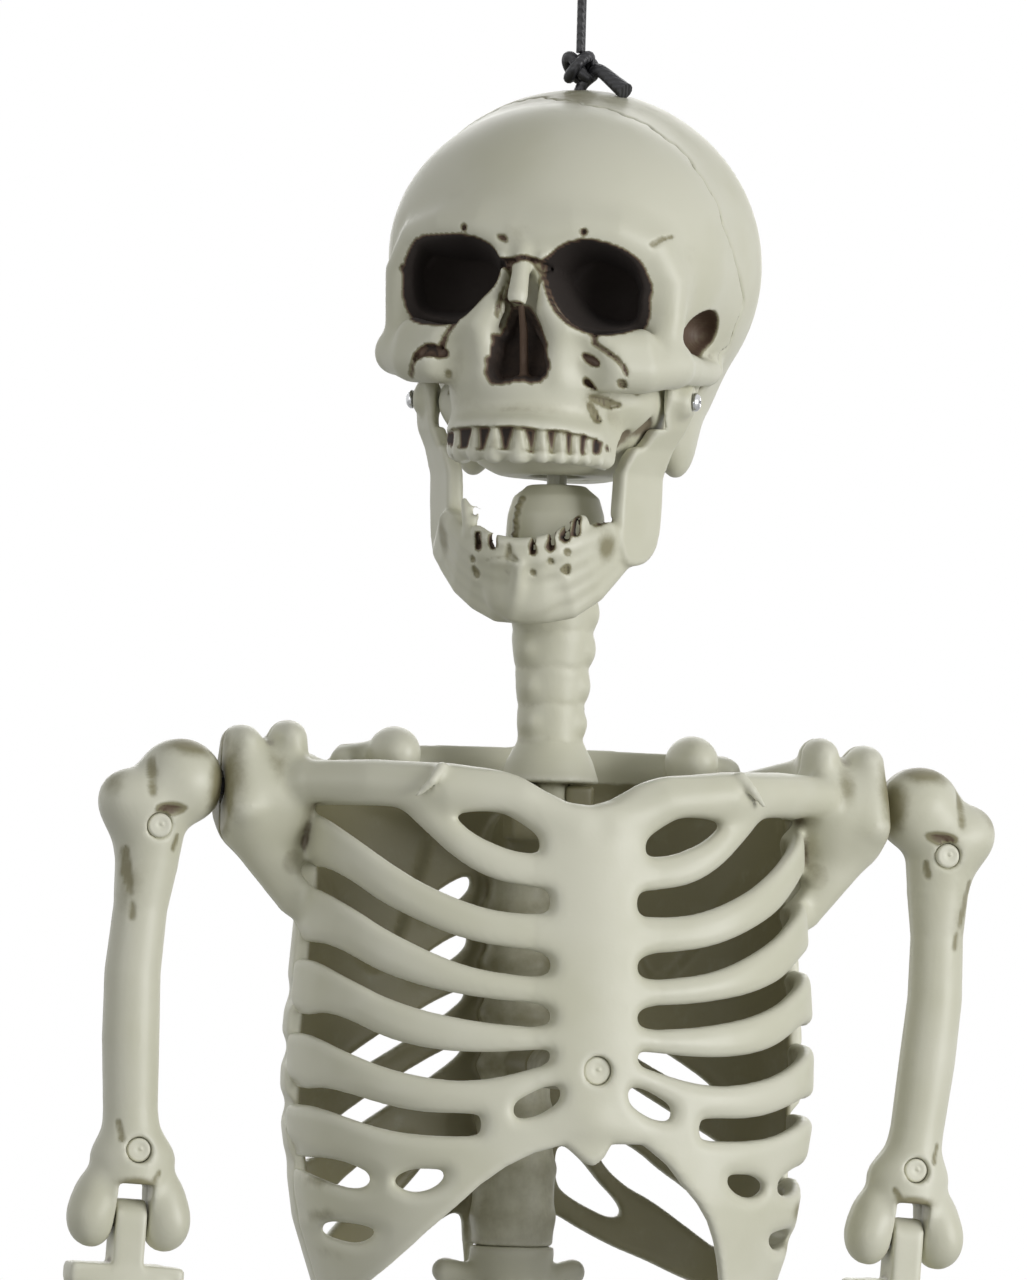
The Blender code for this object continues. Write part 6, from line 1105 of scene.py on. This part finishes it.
thigh = Mould((-6, -18, -212), (34, 18, 16), 0.9)
thigh.ball((9.5, 0, 0), (10.5, 10.5, 10.5), 1)
thigh.ball((20, 0, 2), (8, 9, 9), 3)
thigh.ball((22.5, 2, 5), (5, 7, 6.4), 3)
thigh.rod([(13.5, 0, -7, 11), (13.5, 0, -30, 9.2), (12.8, 0, -98, 8.2), (11, 0, -157, 8.6), (11, 0, -182, 10.7)], 5)
for across, half in ((21, 8), (4, 6.4)):
    thigh.ball((across, 0, -194), (half, 10.5, 12), 2)
    thigh.ball((across, -3, -198), (half - 1, 8, 7), 2)
thigh.ball((6, 3, -24), (4, 5, 6), 3)
thigh.block((-19.65, 0, 0), (20, 30, 40), 0.2, 0.6, cut=True)
fork(thigh, 11, -196, 12, 12, 36)
seam(thigh, (-2, -18, -212), (34, 18, 16))
for out, low, front_y in ((13.5, -15, -10.3), (11, -170, -9.2)):
    thigh.drum((out, front_y, low), 1, ((-9, 3.9), (2.4, 3.9)), 0.5, cut=True, stain=0.12)

shin = Mould((-21, -13, -191), (21, 14, 10), 0.9)
shin.ball((0, 0, -21), (18, 9.5, 7), 2)
shin.rod([(-4, 0, -21, 8), (-3.8, 0, -44, 7), (-3.5, 0, -71, 6.6), (-3, 0, -164, 6.4)], 3)
shin.rod([(-4, -5, -30, 3.6), (-3.6, -4.4, -70, 2.6), (-3.4, -3, -110, 2)], 3)
shin.rod([(12, 2, -24, 4.6), (12, 2, -89, 3.6), (8, 0, -165.5, 4.4)], 2)
shin.ball((0, 0, -175), (12, 8, 11), 3)
shin.ball((-8.5, 0, -179), (3.4, 6, 6), 2)
fork(shin, 0, -178, 8, 8.5, 24)
nose_tongue(shin, 10.8, 7, 21, 4.4)

foot = Mould((-20, -76, -36), (20, 26, 8), 0.85)
foot.ball((0, 11.5, -24), (9, 13, 9.5), 2)
foot.ball((0, -4.8, -19), (11, 15, 8), 3)
for toe in range(5):
    across = -(toe - 2) / 2
    reach = 0.76 - 0.05 * abs(toe - 0.5)
    thick = 3.6 * (1.28 if toe == 0 else 1)
    root = np.array((across * 7.2, -11.5, -22.1))
    bed = np.array((across * 13, -96 * (reach - 0.22), -29))
    tip = np.array((across * 14.4, -96 * reach, -30.4))
    bar = [(*root, 5), (*(root + (bed - root) * 0.6), thick * 0.8), (*bed, thick)]
    bar += [(*(bed + (tip - bed) * s), thick * t) for s, t in ((0.25, 0.7), (0.5, 0.84), (0.7, 0.68), (1, 0.86))]
    foot.rod(bar, 1.2)
foot.block((0, 0, -54), (40, 100, 20.05), 0.1, 0.6, cut=True)
nose_tongue(foot, 6.8, 5.5, 18, 3.6)

for label, side in SIDES:
    shoulder = TORSO @ Matrix.Translation((side * 102.5 * MM, CHEST_SEAM * MM, -216 * MM)) @ ARM_LEAN
    elbow = shoulder @ Matrix.Translation((side * 17.5 * MM, 0, -130 * MM))
    wrist = elbow @ Matrix.Translation((0, 0, -115 * MM))
    hip = TORSO @ Matrix.Translation((side * 48 * MM, 6 * MM, -484 * MM))
    knee = hip @ Matrix.Translation((side * 11 * MM, 0, -196 * MM))
    ankle = knee @ Matrix.Translation((0, 0, -178 * MM))
    over = side < 0
    arm, thigh_name = "upper_arm_" + label, "thigh_" + label
    moulding(arm + "_bone", upper_arm, shoulder, arm, [arm + "_front", arm + "_back"], bone, mirrored=over)
    moulding("forearm_bone_" + label, forearm, elbow, "forearm_" + label, ["forearm_" + label], bone, mirrored=over)
    moulding("hand_bones_" + label, hand, wrist, "hand_" + label, ["hand_" + label], bone, mirrored=over)
    moulding(thigh_name + "_bone", thigh, hip, thigh_name, [thigh_name + "_front", thigh_name + "_back"], bone,
             mirrored=over)
    moulding("shin_bones_" + label, shin, knee, "shin_" + label, ["shin_" + label], bone, mirrored=over)
    moulding("foot_bones_" + label, foot, ankle, "foot_" + label, ["foot_" + label], bone, mirrored=over)
    for owner, top, out, low, front_y in ((arm, shoulder, 19.5, -13.5, -11.2), (arm, shoulder, 17.5, -109, -8.4),
                                          (thigh_name, hip, 13.5, -15, -10.3), (thigh_name, hip, 11, -170, -9.2)):
        end = "top" if low > -50 else "bottom"
        spot = top @ Matrix.Translation((side * out * MM, (front_y + 0.3) * MM, low * MM))
        plug(owner + "_disc_" + end, spot, [owner + "_plug_" + end], owner, 7.2)
        dress([owner + "_screw_" + end], steel)
    limb_pin("elbow_hinge_pin_" + label, "elbow_pin_" + label, elbow, arm, 25.4, 4)
    limb_pin("wrist_hinge_pin_" + label, "wrist_pin_" + label, wrist, "forearm_" + label, 16.6, 3.2)
    limb_pin("knee_hinge_pin_" + label, "knee_pin_" + label, knee, thigh_name, 26.4, 4.4)
    limb_pin("ankle_hinge_pin_" + label, "ankle_pin_" + label, ankle, "shin_" + label, 18.6, 3.6)
    dress(["shoulder_pin_" + label, "hip_pin_" + label], nylon)


# The studio: a white sweep of soft light from above the camera and from both sides, over a
# pale matt floor well below the feet. The background is plain white.
def background_seen(tree):
    """One for rays that show the background, straight or in a shiny or clear surface; nought for its light."""
    path = node(tree, "LightPath").outputs
    shown = node(tree, "Math", {0: path["Is Camera Ray"], 1: path["Is Glossy Ray"]}, operation="MAXIMUM").outputs[0]
    return node(tree, "Math", {0: shown, 1: path["Is Transmission Ray"]}, operation="MAXIMUM").outputs[0]


def pale_board():
    """Matt board, lifted to an even off-white where it is seen, with a faint grain."""
    material = bpy.data.materials.new("matt_white_board")
    tree, skin, place = surface_of(material)
    grain = node(tree, "TexNoise", {"Vector": place, "Scale": 1 / (20 * MM)}).outputs["Fac"]
    colour = node(tree, "Mix", {0: grain, 6: linear("#949494"), 7: linear("#999999")},
                  data_type="RGBA").outputs[2]
    tree.links.new(colour, skin.inputs["Base Color"])
    skin.inputs["Roughness"].default_value = 0.9
    tree.links.new(colour, skin.inputs["Emission Color"])
    glow = node(tree, "Math", {0: background_seen(tree), 1: 1.3}, operation="MULTIPLY").outputs[0]
    tree.links.new(glow, skin.inputs["Emission Strength"])
    return material


floor_mesh = bpy.data.meshes.new("studio_floor")
FLOOR = -1.03
floor_mesh.from_pydata([(-4, -4, FLOOR), (4, -4, FLOOR), (4, 4, FLOOR), (-4, 4, FLOOR)], [], [(0, 1, 2, 3)])
floor_mesh.materials.append(pale_board())
floor = bpy.data.objects.new("studio_floor", floor_mesh)
bpy.context.scene.collection.objects.link(floor)

world = bpy.data.worlds.new("studio_air")
bpy.context.scene.world = world
world.use_nodes = True
tree = world.node_tree
air = tree.nodes["Background"]
seen = background_seen(tree)
strength = node(tree, "MapRange", {"Value": seen, "To Min": 0.28, "To Max": 1.0}).outputs[0]
air.inputs["Color"].default_value = (1, 1, 1, 1)
tree.links.new(strength, air.inputs["Strength"])


def soft_light(name, place, target, size, power):
    """A square diffuser aimed at a point."""
    data = bpy.data.lights.new(name, "AREA")
    data.size = size
    data.energy = power
    lamp = bpy.data.objects.new(name, data)
    way = Vector(target) - Vector(place)
    lamp.matrix_world = Matrix.Translation(place) @ way.to_track_quat("-Z", "Y").to_matrix().to_4x4()
    bpy.context.scene.collection.objects.link(lamp)


middle = (0, 0, -0.35)
soft_light("front_right_softbox", (1.5, -1.7, -0.1), middle, 1.2, 31)
soft_light("front_left_softbox", (-1.9, -1.4, 0.1), middle, 1.3, 8.5)
soft_light("back_softbox", (0.4, 1.9, 0.6), middle, 1.4, 12)
bpy.context.scene.view_settings.view_transform = "Standard"
